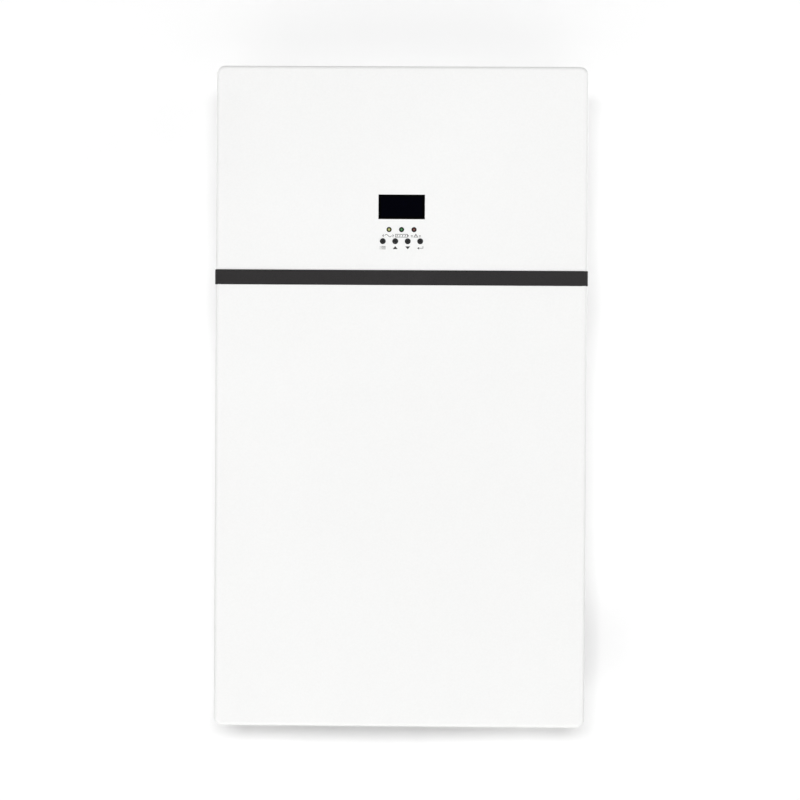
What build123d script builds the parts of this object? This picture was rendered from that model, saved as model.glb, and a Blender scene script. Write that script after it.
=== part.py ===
from build123d import *
import os

# Wall battery unit: a wall-hung cabinet with an inverter in its upper bay and a battery in its lower bay.
# Millimetres. +X is the viewer's right, the covers face -Y, the wall is the plane y = 0, +Z is up.
# The origin is the centre of the wall bracket's bolt pattern, on the wall.

os.makedirs("parts", exist_ok=True)

# ---------------------------------------------------------------- driving dimensions
WIDTH = 480.0
HEIGHT = 854.0
TOP_Z = 150.0
FACE_Y = -208.0
BACK_Y = -18.0

COVER_DEPTH = 28.0
COVER_SHEET = 2.0
COVER_CORNER = 11.0
COVER_EDGE = 5.0
FOLD_GAP = 1.5

SHEET = 2.0
SHELL_INSET = 2.5
SHELL_CORNER = 8.0
FLANGE = 14.0
CAP_DEPTH = 20.0
BUTT_GAP = 0.4

SCREW_R = 1.95
SCREW_HOLE_R = 2.05
SINK_HEAD_R = 3.6
SINK_R = 3.75
PAN_HEAD_R = 3.8
PAN_HEAD_HEIGHT = 2.2
SOCKET_R = 1.4

STRIP_FALL = 263.5
STRIP_HEIGHT = 18.7
STRIP_GAP = 0.4
STRIP_SHEET = 1.2
STRIP_PROUD = 1.0

WINDOW_FALL = 181.6
WINDOW_WIDTH = 60.0
WINDOW_HEIGHT = 31.8
LAMP_FALL = 210.9
KEY_FALL = 225.9
PITCH = 16.1
LAMP_HOLE_R = 3.3
LAMP_R = 2.5
KEY_R = 3.5
KEY_HOLE_R = 3.8
KEY_PROUD = 1.0

LOUVRE_COUNT = 16
LOUVRE_PITCH = 12.0
LOUVRE_LENGTH = 100.0
LOUVRE_Y = -98.0

FAN_Y = -90.0
FAN_FALLS = (80.0, 180.0)
FAN_SIZE = 92.0
FAN_DEPTH = 25.0
FAN_BORE_R = 43.5
BLADES = 7

CELL = (50.0, 118.5, 160.0)
CELL_PITCH = 51.0
CELLS_PER_ROW = 8
ROW_FALLS = (429.0, 593.0)
CELL_BACK_Y = -30.0
TERMINAL_REACH = 55.0

BREAKERS = {"battery": -131.0, "ac_input": -95.0, "ac_output": -59.0}
BREAKER_Z = -625.0
POCKET_SIZE = (130.0, 100.0)
LEVER_SWING = 35.0

# ---------------------------------------------------------------- places worked out from them
BOTTOM_Z = TOP_Z - HEIGHT
MIDDLE_Z = (TOP_Z + BOTTOM_Z) / 2
SIDE_X = WIDTH / 2
COVER_BACK_Y = FACE_Y + COVER_DEPTH
COVER_INNER_Y = FACE_Y + COVER_SHEET
SHELL_SIDE_X = SIDE_X - SHELL_INSET
SHELL_INNER_X = SHELL_SIDE_X - SHEET
SHELL_TOP_Z = TOP_Z - SHELL_INSET
SHELL_BOTTOM_Z = BOTTOM_Z + SHELL_INSET
SHELL_BACK_Y = BACK_Y - SHEET
SHELL_FRONT_Y = -200.0
STRIP_TOP_Z = TOP_Z - STRIP_FALL
STRIP_FOOT_Z = STRIP_TOP_Z - STRIP_HEIGHT
UPPER_FOOT_Z = STRIP_TOP_Z + STRIP_GAP
LOWER_HEAD_Z = STRIP_FOOT_Z - STRIP_GAP
WINDOW_Z = TOP_Z - WINDOW_FALL
LAMP_Z = TOP_Z - LAMP_FALL
KEY_Z = TOP_Z - KEY_FALL
LAMP_PLACES = [(PITCH * step, LAMP_Z) for step in (-1, 0, 1)]
KEY_PLACES = [(PITCH * step, KEY_Z) for step in (-1.5, -0.5, 0.5, 1.5)]
KEY_NAMES = ("set", "up", "down", "enter")
FAN_PLACES = {name: TOP_Z - fall for name, fall in zip(("upper", "lower"), FAN_FALLS)}
ROW_PLACES = {name: TOP_Z - fall for name, fall in zip(("upper", "lower"), ROW_FALLS)}
CELL_FRONT_Y = CELL_BACK_Y - CELL[1]
CELL_XS = [CELL_PITCH * (step - (CELLS_PER_ROW - 1) / 2) for step in range(CELLS_PER_ROW)]
ROW_END_X = CELL_XS[-1] + CELL_PITCH / 2


# ---------------------------------------------------------------- helpers
def front_at(y):
    """Plane at y that faces the viewer; its local x and y are the world's X and Z."""
    return Plane.XZ.offset(-y)


def side_at(x):
    """Plane at x that faces +X; its local x and y are the world's Y and Z."""
    return Plane.YZ.offset(x)


def level(z):
    """Plane at z that faces up; its local x and y are the world's X and Y."""
    return Plane.XY.offset(z)


def slab(xs, ys, zs, mode=Mode.ADD):
    """Box between three (low, high) spans, in the part being built."""
    centre = [(span[0] + span[1]) / 2 for span in (xs, ys, zs)]
    with Locations(tuple(centre)):
        Box(abs(xs[1] - xs[0]), abs(ys[1] - ys[0]), abs(zs[1] - zs[0]), mode=mode)


def plate_on(plane, centre, size, thickness, corner=0.0, mode=Mode.ADD):
    """Plate on a plane, square or with round corners, in the part being built."""
    with BuildSketch(plane) as outline:
        with Locations(centre):
            if corner:
                RectangleRounded(*size, corner)
            else:
                Rectangle(*size)
    extrude(outline.sketch, amount=thickness, mode=mode)


def discs_on(plane, places, radius, thickness, mode=Mode.ADD):
    """Round discs on a plane, in the part being built."""
    with BuildSketch(plane) as outline:
        with Locations(*places):
            Circle(radius)
    extrude(outline.sketch, amount=thickness, mode=mode)


def countersunk_screws(seats, length):
    """Countersunk screws with socket heads flush with the faces of their seats."""
    below = (Align.CENTER, Align.CENTER, Align.MAX)
    with BuildPart() as screws:
        with Locations(*seats):
            Cone(SCREW_R, SINK_HEAD_R, SINK_HEAD_R - SCREW_R, align=below)
            Cylinder(SCREW_R, length, align=below)
        for seat in seats:
            with BuildSketch(seat):
                RegularPolygon(SOCKET_R, 6)
            extrude(amount=-1.2, mode=Mode.SUBTRACT)
    return screws.part


def pan_screws(seats, length):
    """Pan-head screws that stand on their seats."""
    with BuildPart() as screws:
        with Locations(*seats):
            Cylinder(PAN_HEAD_R, PAN_HEAD_HEIGHT, align=(Align.CENTER, Align.CENTER, Align.MIN))
            Cylinder(SCREW_R, length, align=(Align.CENTER, Align.CENTER, Align.MAX))
        for seat in seats:
            with BuildSketch(seat.offset(PAN_HEAD_HEIGHT)):
                RegularPolygon(SOCKET_R, 6)
            extrude(amount=-0.6 * PAN_HEAD_HEIGHT, mode=Mode.SUBTRACT)
    return screws.part


def cable(route, bends, radius):
    """Round cable along straight runs joined by tangent arcs, checked against its length."""
    with BuildPart() as run:
        with BuildLine() as path:
            line = FilletPolyline(*route, radius=bends)
        with BuildSketch(Plane(origin=line @ 0, z_dir=line % 0)) as section:
            Circle(radius)
        sweep(path=path.wires()[0])
    expected = section.sketch.area * line.length
    print("cable", round(line.length, 1), "mm, volume ratio", round(run.part.volume / expected, 4), bends)
    return run.part


# ---------------------------------------------------------------- front covers
def cover_blank(inset, low_z, high_z):
    """Solid cover with round corners and a round front edge, drawn in by inset, between two heights."""
    with BuildPart() as blank:
        with BuildSketch(front_at(COVER_BACK_Y)):
            with Locations((0, MIDDLE_Z)):
                RectangleRounded(WIDTH - 2 * inset, HEIGHT - 2 * inset, COVER_CORNER - inset)
        extrude(amount=COVER_DEPTH - inset)
        fillet(blank.faces().sort_by(Axis.Y)[0].edges(), COVER_EDGE - inset)
        slab((-WIDTH, WIDTH), (2 * FACE_Y, 0), (low_z, high_z), mode=Mode.INTERSECT)
    return blank.part


SCREW_Y = -190.0
UPPER_SCREW_ZS = (95.0, -70.0)
LOWER_SCREW_ZS = (-200.0, -430.0, -660.0)


def cover_seats(heights, x=SIDE_X):
    """Planes on both sides of the cabinet that face outwards, one for each cover screw."""
    right = [Plane(origin=(x, SCREW_Y, z), z_dir=(1, 0, 0)) for z in heights]
    left = [Plane(origin=(-x, SCREW_Y, z), z_dir=(-1, 0, 0)) for z in heights]
    return right + left


def cover(low_z, high_z, fold_span, screw_heights):
    """Cover of one sheet, open at the back; its fold beside the strip stops short of the chassis."""
    inside = SIDE_X - COVER_SHEET
    with BuildPart() as shell:
        add(cover_blank(0.0, low_z, high_z))
        add(cover_blank(COVER_SHEET, low_z + COVER_SHEET, high_z - COVER_SHEET), mode=Mode.SUBTRACT)
        behind_fold = (SHELL_FRONT_Y - FOLD_GAP, COVER_BACK_Y + 1)
        slab((-inside, inside), behind_fold, fold_span, Mode.SUBTRACT)
        with Locations(*cover_seats(screw_heights)):
            CounterSinkHole(SCREW_HOLE_R, SINK_R, 2 * COVER_SHEET, 90)
    return shell.part


with BuildPart() as upper_cover:
    add(cover(UPPER_FOOT_Z, TOP_Z, (UPPER_FOOT_Z - 1, UPPER_FOOT_Z + COVER_SHEET), UPPER_SCREW_ZS))
    window = (WINDOW_WIDTH, WINDOW_HEIGHT)
    plate_on(front_at(FACE_Y), (0, WINDOW_Z), window, -COVER_SHEET, mode=Mode.SUBTRACT)
    discs_on(front_at(FACE_Y), LAMP_PLACES, LAMP_HOLE_R, -COVER_SHEET, mode=Mode.SUBTRACT)
    discs_on(front_at(FACE_Y), KEY_PLACES, KEY_HOLE_R, -COVER_SHEET, mode=Mode.SUBTRACT)
upper_cover.part.label = "upper_cover"
export_step(upper_cover.part, "parts/upper_cover.step")

with BuildPart() as lower_cover:
    add(cover(BOTTOM_Z, LOWER_HEAD_Z, (LOWER_HEAD_Z - COVER_SHEET, LOWER_HEAD_Z + 1), LOWER_SCREW_ZS))
lower_cover.part.label = "lower_cover"
export_step(lower_cover.part, "parts/lower_cover.step")

with BuildPart() as accent_strip:
    strip_face_y = FACE_Y - STRIP_PROUD
    strip_depth = COVER_BACK_Y - strip_face_y
    strip_middle_y = (COVER_BACK_Y + strip_face_y) / 2
    strip_width = WIDTH + 2 * STRIP_PROUD
    strip_corner = COVER_EDGE + STRIP_PROUD
    with BuildSketch(level(STRIP_FOOT_Z)):
        with Locations((0, strip_middle_y)):
            strip_outline = Rectangle(strip_width, strip_depth)
            fillet(strip_outline.vertices().group_by(Axis.Y)[0], strip_corner)
    extrude(amount=STRIP_HEIGHT)
    with BuildSketch(level(STRIP_FOOT_Z)):
        with Locations((0, strip_middle_y + STRIP_SHEET)):
            strip_hollow = Rectangle(strip_width - 2 * STRIP_SHEET, strip_depth)
            fillet(strip_hollow.vertices().group_by(Axis.Y)[0], strip_corner - STRIP_SHEET)
    extrude(amount=STRIP_HEIGHT, mode=Mode.SUBTRACT)
    for fold_z in (STRIP_FOOT_Z, STRIP_TOP_Z - STRIP_SHEET):
        fold_ys = (strip_face_y + STRIP_SHEET / 2, SHELL_FRONT_Y)
        slab((-SHELL_SIDE_X + 4, SHELL_SIDE_X - 4), fold_ys, (fold_z, fold_z + STRIP_SHEET))
accent_strip.part.label = "accent_strip"
export_step(accent_strip.part, "parts/accent_strip.step")


# ---------------------------------------------------------------- gaskets
def gasket(low_z, high_z):
    """Foam ring between a cover and the chassis."""
    reach = 3.0
    width = 7.5
    size = (2 * (SHELL_SIDE_X - reach), high_z - low_z)
    with BuildPart() as ring:
        with BuildSketch(front_at(SHELL_FRONT_Y)):
            with Locations((0, (low_z + high_z) / 2)):
                RectangleRounded(*size, 5)
                RectangleRounded(size[0] - 2 * width, size[1] - 2 * width, 2, mode=Mode.SUBTRACT)
        extrude(amount=SHELL_FRONT_Y - COVER_INNER_Y)
    return ring.part


with BuildPart() as cover_gaskets:
    add(gasket(UPPER_FOOT_Z + COVER_SHEET + 0.3, SHELL_TOP_Z - 3))
    add(gasket(SHELL_BOTTOM_Z + 3, LOWER_HEAD_Z - COVER_SHEET - 0.3))
cover_gaskets.part.label = "cover_gaskets"
export_step(cover_gaskets.part, "parts/cover_gaskets.step")


# ---------------------------------------------------------------- chassis
def chassis_shell():
    """Rounded ring of sheet with a flange all round at the front and at the back."""
    width = 2 * SHELL_SIDE_X
    height = SHELL_TOP_Z - SHELL_BOTTOM_Z
    depth = SHELL_BACK_Y - SHELL_FRONT_Y
    with BuildPart() as shell:
        plate_on(front_at(SHELL_BACK_Y), (0, MIDDLE_Z), (width, height), depth, SHELL_CORNER)
        inner = (width - 2 * SHEET, height - 2 * SHEET)
        inner_plane = front_at(SHELL_BACK_Y - SHEET)
        inner_depth = depth - 2 * SHEET
        plate_on(inner_plane, (0, MIDDLE_Z), inner, inner_depth, SHELL_CORNER - SHEET, Mode.SUBTRACT)
        mouth = (width - 2 * FLANGE, height - 2 * FLANGE)
        plate_on(front_at(SHELL_BACK_Y), (0, MIDDLE_Z), mouth, depth, 3, Mode.SUBTRACT)
    return shell.part


def rear_seats(places):
    """Planes on the rear panel that face the wall."""
    return [Plane(origin=(x, BACK_Y, z), z_dir=(0, 1, 0)) for x, z in places]


CAP_TOP_Z = SHELL_TOP_Z - CAP_DEPTH
CAP_BOTTOM_Z = SHELL_BOTTOM_Z + CAP_DEPTH
ALL_X = (-WIDTH, WIDTH)
ALL_Y = (2 * FACE_Y, 0)
ALL_Z = (2 * BOTTOM_Z, 2 * TOP_Z)
SIDE_SPAN = (CAP_BOTTOM_Z + BUTT_GAP, CAP_TOP_Z - BUTT_GAP)
REAR_X = SHELL_SIDE_X - 8
REAR_PLACES = [(side * REAR_X, z) for side in (-1, 1) for z in (60.0, -170.0, -400.0, -630.0)]
REAR_PLACES += [(x, z) for x in (-120.0, 120.0) for z in (SHELL_TOP_Z - 8, SHELL_BOTTOM_Z + 8)]

HANDLE_Y = -100.0
HANDLE_Z = TOP_Z - 305.0
HANDLE_SIZE = (114.0, 48.0)

COMMS_Z = -548.0
COMMS_YS = (-145.0, -123.0, -101.0)
SOCKETS_HOLE = (61.0, 15.0)
SWITCH_Y = -58.0
SWITCH_HOLE = (17.2, 25.2)
POCKET_Y = BREAKERS["ac_input"]

BAY_X = (-200.0, 110.0)
BAY_Y = (-150.0, -40.0)
BAY_DEPTH = 42.0

with BuildPart() as rear_panel:
    rear_size = (2 * SHELL_SIDE_X, SHELL_TOP_Z - SHELL_BOTTOM_Z)
    plate_on(front_at(BACK_Y), (0, MIDDLE_Z), rear_size, SHEET, SHELL_CORNER)
    discs_on(front_at(BACK_Y), REAR_PLACES, SCREW_HOLE_R, SHEET, Mode.SUBTRACT)
rear_panel.part.label = "rear_panel"
export_step(rear_panel.part, "parts/rear_panel.step")

with BuildPart() as top_cap:
    add(chassis_shell())
    slab(ALL_X, ALL_Y, (CAP_TOP_Z, ALL_Z[1]), Mode.INTERSECT)
    discs_on(front_at(BACK_Y), REAR_PLACES, SCREW_HOLE_R, 3 * SHEET, Mode.SUBTRACT)
top_cap.part.label = "top_cap"
export_step(top_cap.part, "parts/top_cap.step")

with BuildPart() as bottom_cap:
    add(chassis_shell())
    slab(ALL_X, ALL_Y, (ALL_Z[0], CAP_BOTTOM_Z), Mode.INTERSECT)
    discs_on(front_at(BACK_Y), REAR_PLACES, SCREW_HOLE_R, 3 * SHEET, Mode.SUBTRACT)
    slab(BAY_X, BAY_Y, (SHELL_BOTTOM_Z - 1, SHELL_BOTTOM_Z + SHEET), Mode.SUBTRACT)
bottom_cap.part.label = "bottom_cap"
export_step(bottom_cap.part, "parts/bottom_cap.step")

with BuildPart() as left_side_panel:
    add(chassis_shell())
    slab((-WIDTH, -FLANGE), ALL_Y, SIDE_SPAN, Mode.INTERSECT)
    discs_on(front_at(BACK_Y), REAR_PLACES, SCREW_HOLE_R, 3 * SHEET, Mode.SUBTRACT)
    fan_holes = [(FAN_Y, z) for z in FAN_PLACES.values()]
    discs_on(side_at(-SHELL_SIDE_X), fan_holes, FAN_BORE_R - 0.5, SHEET, Mode.SUBTRACT)
    handle_hole = (HANDLE_Y, HANDLE_Z)
    plate_on(side_at(-SHELL_SIDE_X), handle_hole, HANDLE_SIZE, SHEET, 12, Mode.SUBTRACT)
    with Locations(*cover_seats(UPPER_SCREW_ZS + LOWER_SCREW_ZS, SHELL_SIDE_X)):
        Hole(SCREW_HOLE_R, 2 * SHEET)
left_side_panel.part.label = "left_side_panel"
export_step(left_side_panel.part, "parts/left_side_panel.step")


def louvre_blade(z):
    """One pressed louvre: a slot in the panel under a sloping hood closed at both ends."""
    front_y = LOUVRE_Y - LOUVRE_LENGTH / 2
    slot_ys = (front_y, front_y + LOUVRE_LENGTH)
    slab((SHELL_INNER_X - 1, SHELL_SIDE_X + 1), slot_ys, (z, z + 4.4), Mode.SUBTRACT)
    hood_lip = SHELL_SIDE_X + 2.0
    with BuildSketch(front_at(LOUVRE_Y)) as hood:
        Polygon(
            (SHELL_SIDE_X, z + 7.0),
            (hood_lip, z + 1.0),
            (hood_lip - 1.0, z + 0.4),
            (SHELL_INNER_X, z + 5.0),
            (SHELL_INNER_X, z + 7.0),
            align=None,
        )
    extrude(hood.sketch, amount=LOUVRE_LENGTH / 2, both=True)
    for end_y in (front_y, front_y + LOUVRE_LENGTH - 1.0):
        with BuildSketch(front_at(end_y)) as hood_end:
            end_x = SHELL_SIDE_X - 1
            Polygon((end_x, z + 7.0), (hood_lip, z + 1.0), (end_x, z - 0.4), align=None)
        extrude(hood_end.sketch, amount=-1.0)


with BuildPart() as right_side_panel:
    add(chassis_shell())
    slab((FLANGE, WIDTH), ALL_Y, SIDE_SPAN, Mode.INTERSECT)
    discs_on(front_at(BACK_Y), REAR_PLACES, SCREW_HOLE_R, 3 * SHEET, Mode.SUBTRACT)
    plate_on(side_at(SHELL_SIDE_X), handle_hole, HANDLE_SIZE, -SHEET, 12, Mode.SUBTRACT)
    plate_on(side_at(SHELL_SIDE_X), (COMMS_YS[1], COMMS_Z), SOCKETS_HOLE, -SHEET, mode=Mode.SUBTRACT)
    plate_on(side_at(SHELL_SIDE_X), (SWITCH_Y, COMMS_Z), SWITCH_HOLE, -SHEET, mode=Mode.SUBTRACT)
    pocket_hole = (POCKET_SIZE[0] + 5, POCKET_SIZE[1] + 5)
    plate_on(side_at(SHELL_SIDE_X), (POCKET_Y, BREAKER_Z), pocket_hole, -SHEET, mode=Mode.SUBTRACT)
    with Locations(*cover_seats(UPPER_SCREW_ZS + LOWER_SCREW_ZS, SHELL_SIDE_X)):
        Hole(SCREW_HOLE_R, 2 * SHEET)
    for louvre in range(LOUVRE_COUNT):
        louvre_blade(TOP_Z - 42.0 - LOUVRE_PITCH * louvre)
right_side_panel.part.label = "right_side_panel"
export_step(right_side_panel.part, "parts/right_side_panel.step")

with BuildPart() as cross_bar:
    bar_z = (STRIP_TOP_Z + STRIP_FOOT_Z) / 2
    bar_zs = (bar_z - 20, bar_z + 20)
    bar_x = SHELL_SIDE_X - FLANGE - 0.3
    slab((-bar_x, bar_x), (SHELL_FRONT_Y, SHELL_FRONT_Y + SHEET), bar_zs)
    for leg_z in (bar_zs[0], bar_zs[1] - SHEET):
        slab((-bar_x, bar_x), (SHELL_FRONT_Y, SHELL_FRONT_Y + 18), (leg_z, leg_z + SHEET))
    for end in (-1, 1):
        tab_xs = sorted((end * (bar_x - 10), end * (SHELL_INNER_X - 0.5)))
        slab(tab_xs, (SHELL_FRONT_Y + SHEET, SHELL_FRONT_Y + 2 * SHEET), (bar_zs[0] + 3, bar_zs[1] - 3))
cross_bar.part.label = "cross_bar"
export_step(cross_bar.part, "parts/cross_bar.step")

with BuildPart() as cabinet_screws:
    add(countersunk_screws(cover_seats(UPPER_SCREW_ZS + LOWER_SCREW_ZS), 14.0))
    add(pan_screws(rear_seats(REAR_PLACES), 9.0))
cabinet_screws.part.label = "cabinet_screws"
export_step(cabinet_screws.part, "parts/cabinet_screws.step")

# ---------------------------------------------------------------- wall mounting
BRACKET_X = 210.0
BRACKET_SHEET = 3.0
BOLT_PLACES = [(x, z) for x in (-180.0, 180.0) for z in (-15.0, 15.0)]
BOLT_HOLE_R = 4.5
LIP_Y = -8.0
LIP_TOP_Z = 55.0

with BuildPart() as wall_bracket:
    slab((-BRACKET_X, BRACKET_X), (-BRACKET_SHEET, 0), (-35, 35))
    slab((-BRACKET_X, BRACKET_X), (LIP_Y - BRACKET_SHEET, -BRACKET_SHEET), (35 - BRACKET_SHEET, 35))
    slab((-BRACKET_X, BRACKET_X), (LIP_Y - BRACKET_SHEET, LIP_Y), (35, LIP_TOP_Z))
    discs_on(front_at(0), BOLT_PLACES, BOLT_HOLE_R, BRACKET_SHEET, Mode.SUBTRACT)
wall_bracket.part.label = "wall_bracket"
export_step(wall_bracket.part, "parts/wall_bracket.step")

with BuildPart() as hanger_rail:
    slab((-BRACKET_X + 5, BRACKET_X - 5), (BACK_Y, BACK_Y + BRACKET_SHEET), (20, LIP_TOP_Z + BRACKET_SHEET))
    slab((-BRACKET_X + 5, BRACKET_X - 5), (BACK_Y, -3.5), (LIP_TOP_Z, LIP_TOP_Z + BRACKET_SHEET))
    slab((-BRACKET_X + 5, BRACKET_X - 5), (-3.5 - BRACKET_SHEET, -3.5), (38, LIP_TOP_Z))
hanger_rail.part.label = "hanger_rail"
export_step(hanger_rail.part, "parts/hanger_rail.step")

with BuildPart() as wall_bumpers:
    bumper_places = [(x, -640.0) for x in (-180.0, 180.0)]
    discs_on(front_at(0), bumper_places, 15.0, -BACK_Y)
    chamfer(wall_bumpers.faces().filter_by(Axis.Y).sort_by(Axis.Y)[-2:].edges(), 1.5)
wall_bumpers.part.label = "wall_bumpers"
export_step(wall_bumpers.part, "parts/wall_bumpers.step")

# ---------------------------------------------------------------- display, lamps and keys
BOARD_Y = -197.0
BOARD_SHEET = 1.6

with BuildPart() as display_lens:
    lens_size = (WINDOW_WIDTH - 0.2, WINDOW_HEIGHT - 0.2)
    plate_on(front_at(COVER_INNER_Y), (0, WINDOW_Z), lens_size, 1.7)
    plate_on(front_at(COVER_INNER_Y), (0, WINDOW_Z), (WINDOW_WIDTH + 5, WINDOW_HEIGHT + 5), -1.2)
display_lens.part.label = "display_lens"
export_step(display_lens.part, "parts/display_lens.step")

with BuildPart() as lcd_module:
    module_depth = COVER_INNER_Y + 1.2 - BOARD_Y
    plate_on(front_at(BOARD_Y), (0, WINDOW_Z), (WINDOW_WIDTH + 7, WINDOW_HEIGHT + 9), -module_depth)
lcd_module.part.label = "lcd_module"
export_step(lcd_module.part, "parts/lcd_module.step")

with BuildPart() as control_board:
    board_places = [(x, z) for x in (-43.0, 43.0) for z in (-85.0, -8.0)]
    plate_on(front_at(BOARD_Y), (0, -46.5), (96, 88), -BOARD_SHEET, 3)
    discs_on(front_at(BOARD_Y), board_places, 1.6, -BOARD_SHEET, Mode.SUBTRACT)
    plate_on(front_at(BOARD_Y + BOARD_SHEET), (0, -30), (34, 6), -7)
    plate_on(front_at(BOARD_Y + BOARD_SHEET), (0, -60), (18, 18), -2)
    for key_place in KEY_PLACES:
        plate_on(front_at(BOARD_Y), key_place, (6.2, 6.2), 3.6, 0.6)
    discs_on(front_at(BOARD_Y - 1.1), KEY_PLACES, 2.1, 2.5, Mode.SUBTRACT)
control_board.part.label = "control_board"
export_step(control_board.part, "parts/control_board.step")

BMS_Y = -102.0
BMS_PLACES = [(x, z) for x in (-140.0, 140.0) for z in (-183.0, -133.0)]
with BuildPart() as board_standoffs:
    discs_on(front_at(BOARD_Y), board_places, 3.0, BOARD_Y - COVER_INNER_Y)
    discs_on(front_at(BMS_Y + 10), BMS_PLACES, 3.0, 8.4)
board_standoffs.part.label = "board_standoffs"
export_step(board_standoffs.part, "parts/board_standoffs.step")

with BuildPart() as indicator_lamps:
    dome_y = FACE_Y + 0.3
    discs_on(front_at(BOARD_Y), LAMP_PLACES, LAMP_R, BOARD_Y - dome_y - LAMP_R)
    for lamp_x, lamp_z in LAMP_PLACES:
        with Locations((lamp_x, dome_y + LAMP_R, lamp_z)):
            Sphere(LAMP_R)
    discs_on(front_at(BOARD_Y), LAMP_PLACES, 2.9, 4.0)
indicator_lamps.part.label = "indicator_lamps"
export_step(indicator_lamps.part, "parts/indicator_lamps.step")

with BuildPart() as lamp_rings:
    for lamp_x, lamp_z in LAMP_PLACES:
        with BuildSketch(front_at(COVER_INNER_Y)):
            with Locations((lamp_x, lamp_z)):
                Circle(LAMP_HOLE_R - 0.02)
                Circle(LAMP_R + 0.02, mode=Mode.SUBTRACT)
        extrude(amount=COVER_SHEET + 0.2)
        with BuildSketch(front_at(COVER_INNER_Y)):
            with Locations((lamp_x, lamp_z)):
                Circle(LAMP_HOLE_R + 1)
                Circle(LAMP_R + 0.02, mode=Mode.SUBTRACT)
        extrude(amount=-1.0)
lamp_rings.part.label = "lamp_rings"
export_step(lamp_rings.part, "parts/lamp_rings.step")

for key_name, key_place in zip(KEY_NAMES, KEY_PLACES):
    with BuildPart() as key:
        key_front_y = FACE_Y - KEY_PROUD
        key_back_y = COVER_INNER_Y + 0.2
        discs_on(front_at(key_back_y), [key_place], KEY_R, key_back_y - key_front_y)
        fillet(key.faces().sort_by(Axis.Y)[0].edges(), 0.5)
        discs_on(front_at(key_back_y + 1.0), [key_place], KEY_R + 1.1, 1.0)
        discs_on(front_at(BOARD_Y - 2.9), [key_place], 1.8, BOARD_Y - 2.9 - key_back_y)
    key.part.label = f"{key_name}_key"
    export_step(key.part, f"parts/{key_name}_key.step")

# ---------------------------------------------------------------- inverter bay
HEATSINK_X = (-195.0, 185.0)
HEATSINK_Z = (-75.0, 130.0)
BASE_YS = (-72.0, -64.0)
FIN_COUNT = 26
FIN_SHEET = 2.0
POWER_BOARD_Y = -92.0

with BuildPart() as heatsink:
    slab(HEATSINK_X, BASE_YS, HEATSINK_Z)
    fin_step = (HEATSINK_Z[1] - HEATSINK_Z[0] - FIN_SHEET) / (FIN_COUNT - 1)
    for fin in range(FIN_COUNT):
        fin_z = HEATSINK_Z[0] + fin_step * fin
        slab(HEATSINK_X, (BASE_YS[1], SHELL_BACK_Y - 2.5), (fin_z, fin_z + FIN_SHEET))
heatsink.part.label = "heatsink"
export_step(heatsink.part, "parts/heatsink.step")

with BuildPart() as power_board:
    slab((-190, 180), (POWER_BOARD_Y, POWER_BOARD_Y + 2), (-100, 134))
    for lug_x in (-178.5, 160.0):
        slab((lug_x - 9, lug_x + 9), (POWER_BOARD_Y - 6, POWER_BOARD_Y), (-88, -52))
    for module_x in (-120.0, -20.0, 80.0):
        slab((module_x - 31, module_x + 31), (POWER_BOARD_Y + 2, BASE_YS[0]), (-20, 28))
power_board.part.label = "power_board"
export_step(power_board.part, "parts/power_board.step")

with BuildPart() as bus_capacitors:
    capacitor_places = [(-160.0 + 40 * column, 108.0 - 42 * row) for column in range(3) for row in range(2)]
    discs_on(front_at(POWER_BOARD_Y), capacitor_places, 17.5, 50)
    fillet(bus_capacitors.faces().sort_by(Axis.Y)[:6].edges(), 1.5)
bus_capacitors.part.label = "bus_capacitors"
export_step(bus_capacitors.part, "parts/bus_capacitors.step")

with BuildPart() as power_chokes:
    for choke_x in (-130.0, -60.0):
        with Locations(Plane(origin=(choke_x, POWER_BOARD_Y - 16, -30), z_dir=(0, 1, 0))):
            Torus(20, 12)
        slab((choke_x - 24, choke_x + 24), (POWER_BOARD_Y - 5, POWER_BOARD_Y), (-54, -6))
power_chokes.part.label = "power_chokes"
export_step(power_chokes.part, "parts/power_chokes.step")

with BuildPart() as transformer:
    slab((20, 110), (POWER_BOARD_Y - 60, POWER_BOARD_Y), (20, 105))
    slab((32, 98), (POWER_BOARD_Y - 70, POWER_BOARD_Y - 60), (36, 89))
    chamfer(transformer.edges().filter_by(Axis.Y), 4)
transformer.part.label = "transformer"
export_step(transformer.part, "parts/transformer.step")

with BuildPart() as ribbon_cable:
    with BuildSketch(side_at(-15)):
        with BuildLine():
            ribbon_start = (BOARD_Y + BOARD_SHEET + 7.0, -30)
            FilletPolyline(ribbon_start, (-160, -30), (-160, -85), (POWER_BOARD_Y, -85), radius=12)
        trace(line_width=1.0)
    extrude(amount=30)
    slab((-17, 17), (POWER_BOARD_Y - 8, POWER_BOARD_Y), (-89, -81))
    slab((-15, 15), (BOARD_Y + BOARD_SHEET + 6.0, BOARD_Y + BOARD_SHEET + 7.5), (-31, -29), Mode.SUBTRACT)
ribbon_cable.part.label = "ribbon_cable"
export_step(ribbon_cable.part, "parts/ribbon_cable.step")

PARTITION_Z = -122.0
CABLE_Y = -159.5
with BuildPart() as partition_plate:
    slab((-SHELL_INNER_X, SHELL_INNER_X), (-180, SHELL_BACK_Y - SHEET), (PARTITION_Z - 1, PARTITION_Z + 1))
    discs_on(level(PARTITION_Z - 1), [(-178.5, CABLE_Y)], 9.0, 2.0, Mode.SUBTRACT)
    slab((-175, 175), (BMS_Y + 10, BMS_Y + 12), (-191, PARTITION_Z - 1))
partition_plate.part.label = "partition_plate"
export_step(partition_plate.part, "parts/partition_plate.step")

# ---------------------------------------------------------------- fans
FAN_INNER_X = -SHELL_INNER_X + FAN_DEPTH
SCREW_REACH = 41.25
SHAFT_R = 3.0

FAN_CORNERS = {
    fan_z: [(FAN_Y + a * SCREW_REACH, fan_z + b * SCREW_REACH) for a in (-1, 1) for b in (-1, 1)]
    for fan_z in FAN_PLACES.values()
}

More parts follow.
